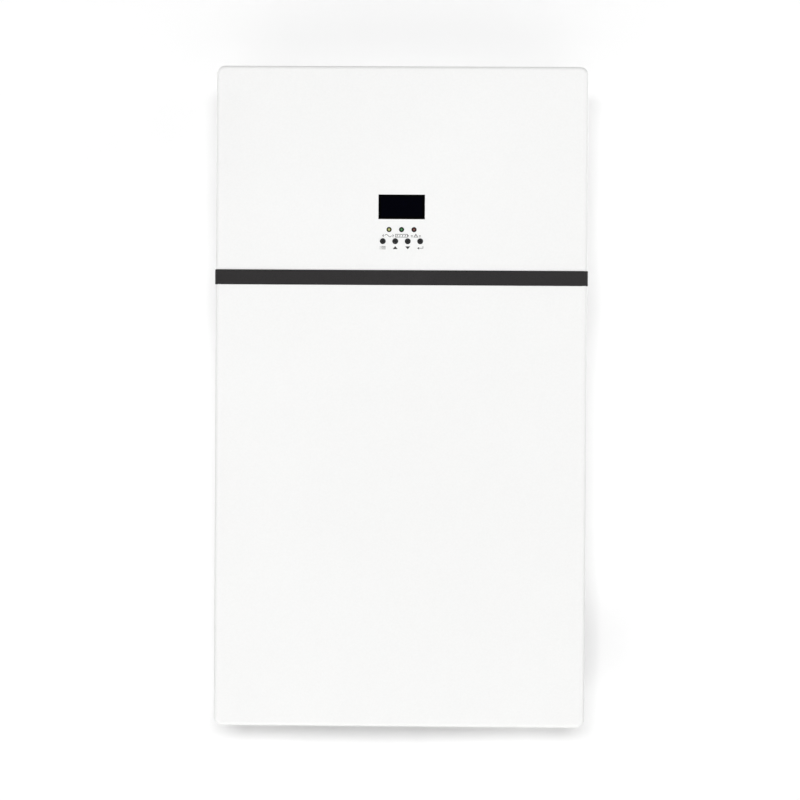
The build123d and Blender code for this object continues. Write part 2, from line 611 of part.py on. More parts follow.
with BuildPart() as fan_frames:
    for fan_z, fan_corners in FAN_CORNERS.items():
        fan_centre = (FAN_Y, fan_z)
        plate_on(side_at(-SHELL_INNER_X), fan_centre, (FAN_SIZE, FAN_SIZE), FAN_DEPTH, 4)
        discs_on(side_at(-SHELL_INNER_X), [fan_centre], FAN_BORE_R, FAN_DEPTH, Mode.SUBTRACT)
        discs_on(side_at(-SHELL_INNER_X), fan_corners, 2.2, FAN_DEPTH, Mode.SUBTRACT)
        discs_on(side_at(FAN_INNER_X - 3), [fan_centre], 18.0, 3.0)
        for spoke in range(4):
            with BuildSketch(side_at(FAN_INNER_X - 3)):
                with Locations(Location((FAN_Y, fan_z, 0), 45 + 90 * spoke)):
                    with Locations((FAN_BORE_R / 2 + 8, 0)):
                        Rectangle(FAN_BORE_R - 14, 4)
            extrude(amount=3)
        discs_on(side_at(-SHELL_INNER_X + 8), [fan_centre], SHAFT_R, FAN_DEPTH - 8)
fan_frames.part.label = "fan_frames"
export_step(fan_frames.part, "parts/fan_frames.step")

for fan_name, fan_z in FAN_PLACES.items():
    fan_centre = (FAN_Y, fan_z)
    with BuildPart() as fan_rotor:
        rotor_x = (-SHELL_INNER_X + 3, FAN_INNER_X - 4)
        rotor_mid = (rotor_x[0] + rotor_x[1]) / 2
        for blade in range(BLADES):
            turn = 360 / BLADES * blade
            with Locations(Location((rotor_mid, FAN_Y, fan_z), (turn, 0, 0))):
                with Locations(Location((0, 0, 28.0), (0, 0, 50))):
                    Box(1.6, 23, 28)
        with BuildSketch(side_at(rotor_x[0])):
            with Locations(fan_centre):
                Circle(42.0)
        extrude(amount=rotor_x[1] - rotor_x[0], mode=Mode.INTERSECT)
        discs_on(side_at(rotor_x[0]), [fan_centre], 17.0, rotor_x[1] - rotor_x[0])
        discs_on(side_at(-SHELL_INNER_X + 7), [fan_centre], SHAFT_R + 0.06, FAN_DEPTH, Mode.SUBTRACT)
    fan_rotor.part.label = f"{fan_name}_fan_rotor"
    export_step(fan_rotor.part, f"parts/{fan_name}_fan_rotor.step")

WIRE = 1.6
GUARD_RINGS = (40.0, 32.0, 24.0, 16.0, 8.0)
with BuildPart() as fan_guards:
    with BuildSketch(side_at(-SHELL_SIDE_X)):
        for fan_z, fan_corners in FAN_CORNERS.items():
            with Locations((FAN_Y, fan_z)):
                for ring_r in GUARD_RINGS:
                    Circle(ring_r + WIRE / 2)
                    Circle(ring_r - WIRE / 2, mode=Mode.SUBTRACT)
            for spoke_turn in (45, 135):
                with Locations(Location((FAN_Y, fan_z, 0), spoke_turn)):
                    Rectangle(2 * SCREW_REACH * 2**0.5, WIRE)
            with Locations(*fan_corners):
                Circle(4.5)
    extrude(amount=-WIRE)
fan_guards.part.label = "fan_guards"
export_step(fan_guards.part, "parts/fan_guards.step")


# ---------------------------------------------------------------- carrying cups
def handle_cup(side):
    """Recessed cup for the fingers in one side of the cabinet; side is -1 or 1."""
    outer = (HANDLE_SIZE[0] - 1, HANDLE_SIZE[1] - 1)
    place = (HANDLE_Y, HANDLE_Z)
    flange = (HANDLE_SIZE[0] + 16, HANDLE_SIZE[1] + 14)
    with BuildPart() as cup:
        plate_on(side_at(side * SHELL_SIDE_X), place, flange, side * 1.8, 14)
        fillet(cup.faces().sort_by(Axis.X)[-1 if side > 0 else 0].edges(), 1.0)
        plate_on(side_at(side * (SHELL_SIDE_X - 30)), place, outer, side * 30, 11.5)
        hollow = (outer[0] - 4, outer[1] - 4)
        plate_on(side_at(side * (SHELL_SIDE_X - 28)), place, hollow, side * 40, 9.5, Mode.SUBTRACT)
    return cup.part


with BuildPart() as handle_cups:
    add(handle_cup(-1))
    add(handle_cup(1))
handle_cups.part.label = "handle_cups"
export_step(handle_cups.part, "parts/handle_cups.step")

# ---------------------------------------------------------------- battery
with BuildPart() as battery_brackets:
    for shelf_z in (ROW_PLACES["lower"] - CELL[2] / 2 - 2, ROW_PLACES["upper"] + CELL[2] / 2):
        slab((-225, 225), (-153, SHELL_BACK_Y - SHEET), (shelf_z, shelf_z + 2))
    lip_z = ROW_PLACES["lower"] - CELL[2] / 2
    slab((-225, 225), (-153, -151), (lip_z, lip_z + 10))
battery_brackets.part.label = "battery_brackets"
export_step(battery_brackets.part, "parts/battery_brackets.step")

with BuildPart() as battery_cells:
    for row_z in ROW_PLACES.values():
        for cell_x in CELL_XS:
            plate_on(front_at(CELL_BACK_Y), (cell_x, row_z), (CELL[0], CELL[2]), CELL[1], 2)
            terminals = [(cell_x, row_z + reach) for reach in (-TERMINAL_REACH, TERMINAL_REACH)]
            discs_on(front_at(CELL_FRONT_Y), terminals, 8.0, 3.0)
            discs_on(front_at(CELL_FRONT_Y), [(cell_x, row_z)], 6.0, 0.6)
battery_cells.part.label = "battery_cells"
export_step(battery_cells.part, "parts/battery_cells.step")

with BuildPart() as pack_frames:
    for row_z in ROW_PLACES.values():
        for side in (-1, 1):
            plate_xs = sorted((side * ROW_END_X, side * (ROW_END_X + 8)))
            slab(plate_xs, (CELL_FRONT_Y, CELL_BACK_Y), (row_z - 78, row_z + 78))
        strap_x = (-ROW_END_X - 8, ROW_END_X + 8)
        slab(strap_x, (CELL_FRONT_Y - 1.9, CELL_FRONT_Y - 0.9), (row_z - 12, row_z + 12))
        slab(strap_x, (CELL_BACK_Y, CELL_BACK_Y + 1), (row_z - 12, row_z + 12))
        for side in (-1, 1):
            hook_xs = sorted((side * (ROW_END_X + 8), side * (ROW_END_X + 9)))
            slab(hook_xs, (CELL_FRONT_Y - 1.9, CELL_BACK_Y + 1), (row_z - 12, row_z + 12))
pack_frames.part.label = "pack_frames"
export_step(pack_frames.part, "parts/pack_frames.step")

BAR_YS = (CELL_FRONT_Y - 6.0, CELL_FRONT_Y - 3.0)
with BuildPart() as busbars:
    for row_z in ROW_PLACES.values():
        for pair in range(CELLS_PER_ROW - 1):
            bar_reach = -TERMINAL_REACH if pair % 2 == 0 else TERMINAL_REACH
            bar_xs = (CELL_XS[pair] - 9, CELL_XS[pair + 1] + 9)
            slab(bar_xs, BAR_YS, (row_z + bar_reach - 8, row_z + bar_reach + 8))
    link_zs = [row_z + TERMINAL_REACH for row_z in ROW_PLACES.values()]
    slab((CELL_XS[-1] + 13, CELL_XS[-1] + 25), BAR_YS, (link_zs[1] - 8, link_zs[0] + 8))
    for link_z in link_zs:
        slab((CELL_XS[-1] - 8, CELL_XS[-1] + 25), BAR_YS, (link_z - 8, link_z + 8))
    nut_places = []
    for row_z in ROW_PLACES.values():
        for cell_x in CELL_XS[1:]:
            nut_places += [(cell_x, row_z + reach) for reach in (-TERMINAL_REACH, TERMINAL_REACH)]
        nut_places.append((CELL_XS[0], row_z - TERMINAL_REACH))
    with BuildSketch(front_at(BAR_YS[0])):
        with Locations(*nut_places):
            RegularPolygon(5.8, 6)
    extrude(amount=4.5)
busbars.part.label = "busbars"
export_step(busbars.part, "parts/busbars.step")

with BuildPart() as bms_board:
    slab((-150, 150), (BMS_Y, BMS_Y + 1.6), (-189, -127))
    for chip in range(8):
        chip_x = -119 + 34 * chip
        slab((chip_x - 8, chip_x + 8), (BMS_Y - 4.6, BMS_Y), (-150, -140))
        slab((chip_x - 12, chip_x + 12), (BMS_Y - 9, BMS_Y), (-184, -168))
bms_board.part.label = "bms_board"
export_step(bms_board.part, "parts/bms_board.step")

# ---------------------------------------------------------------- inner cables
CABLE_R = 5.0
FIRST_X = CELL_XS[0]
PLUS_Z = ROW_PLACES["upper"] + TERMINAL_REACH
MINUS_Z = ROW_PLACES["lower"] + TERMINAL_REACH


def lug(z, way):
    """Cable lug bolted on a terminal, with the cable leaving up (way 1) or down (way -1)."""
    with BuildPart() as tongue:
        slab((FIRST_X - 8, FIRST_X + 8), BAR_YS, sorted((z - 8 * way, z + 20 * way)))
        collar_plane = level(z + 12 * way)
        discs_on(collar_plane, [(FIRST_X, CABLE_Y)], CABLE_R + 1.5, 14 * way)
        discs_on(collar_plane, [(FIRST_X, CABLE_Y)], CABLE_R, 14 * way, Mode.SUBTRACT)
    return tongue.part


plus_route = [
    (FIRST_X, CABLE_Y, PLUS_Z + 12),
    (FIRST_X, CABLE_Y, -70),
    (FIRST_X, POWER_BOARD_Y - 6, -70),
]
with BuildPart() as battery_positive_cable:
    add(lug(PLUS_Z, 1))
    add(cable(plus_route, [26], CABLE_R))
battery_positive_cable.part.label = "battery_positive_cable"
export_step(battery_positive_cable.part, "parts/battery_positive_cable.step")

BREAKER_HEAD_Z = BREAKER_Z + 41
CABLE_TURN_Z = -548.0
CABLE_STEP_Y = CABLE_Y - 12.5
minus_route = [
    (FIRST_X, CABLE_Y, MINUS_Z - 12),
    (FIRST_X, CABLE_Y, MINUS_Z - 34),
    (FIRST_X, CABLE_STEP_Y, MINUS_Z - 60),
    (FIRST_X, CABLE_STEP_Y, CABLE_TURN_Z),
    (60, CABLE_STEP_Y, CABLE_TURN_Z),
    (174, BREAKERS["battery"], CABLE_TURN_Z),
    (174, BREAKERS["battery"], BREAKER_HEAD_Z),
]
with BuildPart() as battery_negative_cable:
    add(lug(MINUS_Z, -1))
    add(cable(minus_route, [30, 30, 40, 60, 20], CABLE_R))
battery_negative_cable.part.label = "battery_negative_cable"
export_step(battery_negative_cable.part, "parts/battery_negative_cable.step")

GLAND_XS = {"ac_input": -5.0, "ac_output": 45.0}
LEAD_R = 4.5
LEAD_TURN_ZS = {"ac_input": -554.0, "ac_output": -567.0}
BAY_CEILING_Z = SHELL_BOTTOM_Z + BAY_DEPTH
GLAND_Y = -95.0
with BuildPart() as mains_leads:
    for lead_name, gland_x in GLAND_XS.items():
        lead_y = BREAKERS[lead_name]
        lead_turn_z = LEAD_TURN_ZS[lead_name]
        lead_route = [
            (gland_x, GLAND_Y, BAY_CEILING_Z + 12),
            (gland_x, GLAND_Y, lead_turn_z),
            (174, lead_y, lead_turn_z),
            (174, lead_y, BREAKER_HEAD_Z),
        ]
        add(cable(lead_route, [25, 12], LEAD_R))
mains_leads.part.label = "mains_leads"
export_step(mains_leads.part, "parts/mains_leads.step")

# ---------------------------------------------------------------- breaker pocket
POCKET_FLOOR_X = SHELL_SIDE_X - 26.0
NOSE_HEIGHT = 45.0
PIVOT_X = 215.0
LEVER_HUB_R = 7.5
WINDOW_TOP_Z = BREAKER_Z + POCKET_SIZE[1] / 2
HINGE_X = SHELL_SIDE_X - 0.2
HINGE_Z = WINDOW_TOP_Z - 3.4
HINGE_PIN_R = 1.0

POCKET_PLACE = (POCKET_Y, BREAKER_Z)
BREAKER_WIDTH = 36.0
with BuildPart() as breaker_tray:
    tray_wall = 2.0
    tray_outer = (POCKET_SIZE[0] + 2 * tray_wall, POCKET_SIZE[1] + 2 * tray_wall)
    tray_depth = SHELL_SIDE_X - POCKET_FLOOR_X + tray_wall
    plate_on(side_at(POCKET_FLOOR_X - tray_wall), POCKET_PLACE, tray_outer, tray_depth)
    tray_flange = (POCKET_SIZE[0] + 18, POCKET_SIZE[1] + 16)
    plate_on(side_at(SHELL_SIDE_X), POCKET_PLACE, tray_flange, 1.9, 6)
    plate_on(side_at(POCKET_FLOOR_X), POCKET_PLACE, POCKET_SIZE, 40, mode=Mode.SUBTRACT)
    nose_hole = (3 * BREAKER_WIDTH + 1.0, NOSE_HEIGHT + 1.0)
    plate_on(side_at(POCKET_FLOOR_X - 10), POCKET_PLACE, nose_hole, 12, mode=Mode.SUBTRACT)
    with Locations(Plane(origin=(HINGE_X, POCKET_Y, HINGE_Z), z_dir=(0, 1, 0))):
        Cylinder(HINGE_PIN_R + 0.02, POCKET_SIZE[0] + 3, mode=Mode.SUBTRACT)
    for leg_y in (POCKET_Y - 64, POCKET_Y + 60):
        slab((150, POCKET_FLOOR_X - tray_wall), (leg_y, leg_y + 4), (BREAKER_Z - 10, BREAKER_Z + 10))
breaker_tray.part.label = "breaker_tray"
export_step(breaker_tray.part, "parts/breaker_tray.step")

RAIL_X = 150.0
with BuildPart() as din_rail:
    rail_ys = (POCKET_Y - 60, POCKET_Y + 60)
    slab((RAIL_X, RAIL_X + 1.5), rail_ys, (BREAKER_Z - 12, BREAKER_Z + 12))
    for rail_side in (-1, 1):
        web = sorted((BREAKER_Z + 12 * rail_side, BREAKER_Z + 13.5 * rail_side))
        slab((RAIL_X, RAIL_X + 7.5), rail_ys, web)
        ledge = sorted((BREAKER_Z + 12 * rail_side, BREAKER_Z + 17.5 * rail_side))
        slab((RAIL_X + 6.0, RAIL_X + 7.5), rail_ys, ledge)
din_rail.part.label = "din_rail"
export_step(din_rail.part, "parts/din_rail.step")

BREAKER_HALF = BREAKER_WIDTH / 2 - 0.3
PIVOT_R = 2.0
with BuildPart() as breakers:
    for breaker_y in BREAKERS.values():
        body_ys = (breaker_y - BREAKER_HALF, breaker_y + BREAKER_HALF)
        nose_zs = (BREAKER_Z - NOSE_HEIGHT / 2, BREAKER_Z + NOSE_HEIGHT / 2)
        slab((RAIL_X + 8, POCKET_FLOOR_X - 2.5), body_ys, (BREAKER_Z - 41, BREAKER_HEAD_Z))
        slab((POCKET_FLOOR_X - 3, PIVOT_X + 4), body_ys, nose_zs)
        with Locations(Plane(origin=(PIVOT_X, breaker_y, BREAKER_Z), z_dir=(0, 1, 0))):
            Cylinder(LEVER_HUB_R + 0.4, 2 * BREAKER_HALF - 5, mode=Mode.SUBTRACT)
            Cylinder(PIVOT_R, 2 * BREAKER_HALF)
breakers.part.label = "breakers"
export_step(breakers.part, "parts/breakers.step")

for breaker_name, breaker_y in BREAKERS.items():
    with BuildPart() as lever:
        lever_length = 2 * BREAKER_HALF - 6
        with Locations(Plane(origin=(PIVOT_X, breaker_y, BREAKER_Z), z_dir=(0, 1, 0))):
            Cylinder(LEVER_HUB_R, lever_length)
        with Locations(Location((PIVOT_X, breaker_y, BREAKER_Z), (0, LEVER_SWING, 0))):
            with Locations((8.5, 0, 0)):
                Box(13, lever_length, 5)
        fillet(lever.edges().filter_by(Axis.Y).sort_by(Axis.X)[-2:], 1.2)
        with Locations(Plane(origin=(PIVOT_X, breaker_y, BREAKER_Z), z_dir=(0, 1, 0))):
            Cylinder(PIVOT_R + 0.06, 2 * BREAKER_HALF, mode=Mode.SUBTRACT)
    lever.part.label = f"{breaker_name}_lever"
    export_step(lever.part, f"parts/{breaker_name}_lever.step")

with BuildPart() as breaker_window:
    window_gap = 0.8
    window_half = POCKET_SIZE[0] / 2 - window_gap
    pane_x = (SHELL_SIDE_X - 0.2, SHELL_SIDE_X + 1.8)
    pane_foot = BREAKER_Z - POCKET_SIZE[1] / 2 + window_gap
    slab(pane_x, (POCKET_Y - window_half, POCKET_Y + window_half), (pane_foot, HINGE_Z))
    with Locations(Plane(origin=(HINGE_X, POCKET_Y, HINGE_Z), z_dir=(0, 1, 0))):
        Cylinder(1.95, 2 * window_half)
    slab((pane_x[1] - 0.5, pane_x[1] + 0.6), (POCKET_Y - 14, POCKET_Y + 14), (pane_foot + 3, pane_foot + 5))
    with Locations(Plane(origin=(HINGE_X, POCKET_Y, HINGE_Z), z_dir=(0, 1, 0))):
        Cylinder(HINGE_PIN_R + 0.06, 2 * window_half, mode=Mode.SUBTRACT)
breaker_window.part.label = "breaker_window"
export_step(breaker_window.part, "parts/breaker_window.step")

with BuildPart() as window_pin:
    with Locations(Plane(origin=(HINGE_X, POCKET_Y, HINGE_Z), z_dir=(0, 1, 0))):
        Cylinder(HINGE_PIN_R, POCKET_SIZE[0] + 2.8)
window_pin.part.label = "window_pin"
export_step(window_pin.part, "parts/window_pin.step")

# ---------------------------------------------------------------- comms sockets and power switch
PLUG_SIZE = (11.8, 6.8)
PLUG_REACH = 14.0
PLUG_Z = COMMS_Z - 0.5
LATCH_SIZE = (6.0, 3.0)
BLOCK_PROUD = 0.4
BLOCK_DEPTH = 21.0
with BuildPart() as comms_board:
    block_size = (SOCKETS_HOLE[0] - 0.6, SOCKETS_HOLE[1] - 0.6)
    block_plane = side_at(SHELL_SIDE_X - BLOCK_DEPTH)
    plate_on(block_plane, (COMMS_YS[1], COMMS_Z), block_size, BLOCK_DEPTH + BLOCK_PROUD)
    for comms_y in COMMS_YS:
        plug_plane = side_at(SHELL_SIDE_X - PLUG_REACH)
        plate_on(plug_plane, (comms_y, PLUG_Z), PLUG_SIZE, 20, mode=Mode.SUBTRACT)
        plate_on(plug_plane, (comms_y, COMMS_Z + 3.6), LATCH_SIZE, 20, mode=Mode.SUBTRACT)
    board_top_z = COMMS_Z - block_size[1] / 2
    slab((186, SHELL_INNER_X - 1), (-160, -86), (board_top_z - BOARD_SHEET, board_top_z))
    slab((190, 204), (-140, -120), (board_top_z, board_top_z + 2))
comms_board.part.label = "comms_board"
export_step(comms_board.part, "parts/comms_board.step")

CAP_STEM = 9.0
CAP_FLANGE = 1.1
with BuildPart() as dust_caps:
    for comms_y in COMMS_YS:
        stem_size = (PLUG_SIZE[0] - 0.2, PLUG_SIZE[1] - 0.2)
        stem_plane = side_at(SHELL_SIDE_X + BLOCK_PROUD - CAP_STEM)
        flange_plane = side_at(SHELL_SIDE_X + BLOCK_PROUD)
        plate_on(stem_plane, (comms_y, PLUG_Z), stem_size, CAP_STEM)
        plate_on(flange_plane, (comms_y, COMMS_Z + 0.4), (15.0, 12.6), CAP_FLANGE, 2.0)
        plate_on(flange_plane, (comms_y, COMMS_Z - 7.2), (6.0, 5.0), CAP_FLANGE, 1.5)
        plate_on(side_at(SHELL_SIDE_X + BLOCK_PROUD + CAP_FLANGE), (comms_y, COMMS_Z - 8.4), (5.0, 1.0), 0.6)
dust_caps.part.label = "dust_caps"
export_step(dust_caps.part, "parts/dust_caps.step")

ROCKER_PIVOT_X = SHELL_SIDE_X - 4.5
ROCKER_TILT = 10.0
with BuildPart() as power_switch:
    switch_place = (SWITCH_Y, COMMS_Z)
    switch_body = (SWITCH_HOLE[0] - 0.4, SWITCH_HOLE[1] - 0.4)
    plate_on(side_at(SHELL_SIDE_X - 22), switch_place, switch_body, 22)
    plate_on(side_at(SHELL_SIDE_X), switch_place, (20.4, 28.4), 1.6, 1.5)
    with Locations((ROCKER_PIVOT_X + 9, SWITCH_Y, COMMS_Z)):
        Box(24, 12.4, 21.2, mode=Mode.SUBTRACT)
    with Locations(Plane(origin=(ROCKER_PIVOT_X - 3, SWITCH_Y, COMMS_Z), z_dir=(0, 1, 0))):
        Cylinder(10.4, 12.4, mode=Mode.SUBTRACT)
    with Locations(Plane(origin=(ROCKER_PIVOT_X, SWITCH_Y, COMMS_Z), z_dir=(0, 1, 0))):
        Cylinder(1.2, 13)
power_switch.part.label = "power_switch"
export_step(power_switch.part, "parts/power_switch.step")

with BuildPart() as power_rocker:
    with BuildSketch(Plane.XZ.offset(-SWITCH_Y)):
        with Locations(Location((ROCKER_PIVOT_X, COMMS_Z, 0), ROCKER_TILT)):
            Polygon(
                (-2.2, -2.5),
                (0.4, -8.9),
                (4.4, -8.9),
                (2.8, 0),
                (4.4, 8.9),
                (0.4, 8.9),
                (-2.2, 2.5),
                align=None,
            )
    extrude(amount=5.9, both=True)
    with Locations(Plane(origin=(ROCKER_PIVOT_X, SWITCH_Y, COMMS_Z), z_dir=(0, 1, 0))):
        Cylinder(1.26, 13, mode=Mode.SUBTRACT)
power_rocker.part.label = "power_rocker"
export_step(power_rocker.part, "parts/power_rocker.step")

# ---------------------------------------------------------------- cable bay in the underside
BAY_WALL = 1.5
BAY_CENTRE = ((BAY_X[0] + BAY_X[1]) / 2, (BAY_Y[0] + BAY_Y[1]) / 2)
BAY_SIZE = (BAY_X[1] - BAY_X[0] - 1, BAY_Y[1] - BAY_Y[0] - 1)
GLAND_PLACES = [(gland_x, GLAND_Y) for gland_x in (-55.0, *GLAND_XS.values())]
PV_PLACES = [(x, y) for x in (-178.0, -148.0, -112.0) for y in (-120.0, -70.0)]
STUD_PLACE = (88.0, GLAND_Y)
GLAND_R = 12.5
GLAND_BORE_R = 7.0
PV_R = 8.0

with BuildPart() as cable_bay:
    plate_on(level(SHELL_BOTTOM_Z), BAY_CENTRE, BAY_SIZE, BAY_DEPTH, 4)
    bay_hollow = (BAY_SIZE[0] - 2 * BAY_WALL, BAY_SIZE[1] - 2 * BAY_WALL)
    plate_on(level(SHELL_BOTTOM_Z), BAY_CENTRE, bay_hollow, BAY_DEPTH - BAY_WALL, 2.5, Mode.SUBTRACT)
    discs_on(level(SHELL_BOTTOM_Z), GLAND_PLACES, GLAND_R - 0.5, BAY_DEPTH, Mode.SUBTRACT)
    discs_on(level(SHELL_BOTTOM_Z), PV_PLACES, PV_R - 1.0, BAY_DEPTH, Mode.SUBTRACT)
    discs_on(level(SHELL_BOTTOM_Z), [STUD_PLACE], 3.05, BAY_DEPTH, Mode.SUBTRACT)
cable_bay.part.label = "cable_bay"
export_step(cable_bay.part, "parts/cable_bay.step")

CEILING_Z = BAY_CEILING_Z - BAY_WALL
with BuildPart() as cable_glands:
    with BuildSketch(level(CEILING_Z)):
        with Locations(*GLAND_PLACES):
            RegularPolygon(18.0, 6)
    extrude(amount=-8)
    discs_on(level(CEILING_Z - 8), GLAND_PLACES, 14.5, -4)
    with BuildSketch(level(CEILING_Z - 12)):
        with Locations(*GLAND_PLACES):
            RegularPolygon(17.0, 6)
    extrude(amount=-12)
    discs_on(level(CEILING_Z - 24), GLAND_PLACES, 14.0, -4)
    chamfer(cable_glands.faces().sort_by(Axis.Z)[:3].edges(), 2.0)
    discs_on(level(CEILING_Z), GLAND_PLACES, GLAND_R - 0.6, 10)
    discs_on(level(CEILING_Z - 30), GLAND_PLACES, GLAND_BORE_R, 60, Mode.SUBTRACT)
    with BuildSketch(level(BAY_CEILING_Z)):
        with Locations(*GLAND_PLACES):
            RegularPolygon(18.0, 6)
            Circle(GLAND_R - 0.6, mode=Mode.SUBTRACT)
    extrude(amount=6)
cable_glands.part.label = "cable_glands"
export_step(cable_glands.part, "parts/cable_glands.step")

with BuildPart() as solar_connectors:
    discs_on(level(CEILING_Z), PV_PLACES, 10.5, -3)
    discs_on(level(CEILING_Z), PV_PLACES, PV_R, -30)
    discs_on(level(CEILING_Z - 30), PV_PLACES, 6.0, -6)
    discs_on(level(CEILING_Z), PV_PLACES, PV_R - 1.1, 16)
solar_connectors.part.label = "solar_connectors"
export_step(solar_connectors.part, "parts/solar_connectors.step")

with BuildPart() as ground_stud:
    discs_on(level(CEILING_Z - 22), [STUD_PLACE], 3.0, 32)
    with BuildSketch(level(CEILING_Z - 5)):
        with Locations(STUD_PLACE):
            RegularPolygon(5.8, 6)
    extrude(amount=5)
    with BuildSketch(level(BAY_CEILING_Z)):
        with Locations(STUD_PLACE):
            RegularPolygon(5.8, 6)
    extrude(amount=5)
ground_stud.part.label = "ground_stud"
export_step(ground_stud.part, "parts/ground_stud.step")
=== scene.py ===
import math

import bmesh
import bpy
from mathutils import Matrix, Vector


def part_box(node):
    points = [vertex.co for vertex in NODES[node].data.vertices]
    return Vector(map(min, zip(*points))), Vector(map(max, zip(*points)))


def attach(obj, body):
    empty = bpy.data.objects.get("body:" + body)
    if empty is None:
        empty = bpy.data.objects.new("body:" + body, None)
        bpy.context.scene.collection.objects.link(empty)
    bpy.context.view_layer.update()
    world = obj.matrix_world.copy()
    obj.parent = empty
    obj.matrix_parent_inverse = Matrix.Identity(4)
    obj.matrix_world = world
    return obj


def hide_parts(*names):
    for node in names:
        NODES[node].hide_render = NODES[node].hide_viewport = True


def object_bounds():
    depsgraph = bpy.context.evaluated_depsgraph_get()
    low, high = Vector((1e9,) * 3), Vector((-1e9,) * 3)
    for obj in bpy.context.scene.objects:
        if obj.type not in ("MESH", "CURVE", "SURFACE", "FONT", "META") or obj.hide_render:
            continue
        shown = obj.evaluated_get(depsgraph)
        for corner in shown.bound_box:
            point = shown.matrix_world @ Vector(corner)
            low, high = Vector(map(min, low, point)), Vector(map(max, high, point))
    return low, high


# Looks for the wall battery unit: materials for every CAD node, detail pieces, studio and camera.
# Everything is in metres, in the CAD frame: covers face -Y, the wall is y = 0, +Z is up.

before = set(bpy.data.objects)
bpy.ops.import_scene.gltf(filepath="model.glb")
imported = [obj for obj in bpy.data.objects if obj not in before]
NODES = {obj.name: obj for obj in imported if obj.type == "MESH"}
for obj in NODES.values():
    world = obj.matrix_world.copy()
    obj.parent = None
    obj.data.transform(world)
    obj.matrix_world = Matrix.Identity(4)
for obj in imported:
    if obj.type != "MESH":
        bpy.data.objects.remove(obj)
cad_low, cad_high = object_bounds()
CABINET = "cabinet"
MM = 0.001


# ------------------------------------------------------------------ places read from the frame
def middle(node):
    """Centre of a CAD node's box at rest."""
    low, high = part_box(node)
    return (Vector(low) + Vector(high)) / 2


FACE_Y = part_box("upper_cover")[0][1]
UNIT_LOW = Vector(cad_low)
UNIT_HIGH = Vector(cad_high)
UNIT_MIDDLE = (UNIT_LOW + UNIT_HIGH) / 2
KEY_NODES = ("set_key", "up_key", "down_key", "enter_key")
KEYS = [middle(node) for node in KEY_NODES]
PITCH = KEYS[1].x - KEYS[0].x
LAMP_Z = middle("indicator_lamps").z
LAMP_XS = [PITCH * step for step in (-1, 0, 1)]


# ------------------------------------------------------------------ camera
LENS_MM = 100.0
SENSOR_MM = 36.0
UNIT_SHARE = 0.8265
CAMERA_YAW = math.radians(0.9)
CAMERA_PITCH = math.radians(0.75)
CAMERA_ROLL = math.radians(0.34)
AIM_DROP = 3.8 * MM
AIM_LEFT = 0.7 * MM


def add_camera():
    """Long lens in front of the covers, a little to the right and above, rolled a touch."""
    unit_height = UNIT_HIGH.z - UNIT_LOW.z
    distance = unit_height / UNIT_SHARE * LENS_MM / SENSOR_MM
    aim = Vector((-AIM_LEFT, FACE_Y, UNIT_MIDDLE.z - AIM_DROP))
    back = Vector((
        math.sin(CAMERA_YAW) * math.cos(CAMERA_PITCH),
        -math.cos(CAMERA_YAW) * math.cos(CAMERA_PITCH),
        math.sin(CAMERA_PITCH),
    ))
    data = bpy.data.cameras.new("camera")
    data.lens = LENS_MM
    data.sensor_width = SENSOR_MM
    camera = bpy.data.objects.new("camera", data)
    bpy.context.scene.collection.objects.link(camera)
    camera.rotation_mode = "QUATERNION"
    camera.location = aim + back * distance
    look = (-back).to_track_quat("-Z", "Y")
    camera.rotation_quaternion = look @ Matrix.Rotation(CAMERA_ROLL, 4, "Z").to_quaternion()
    bpy.context.scene.camera = camera


add_camera()


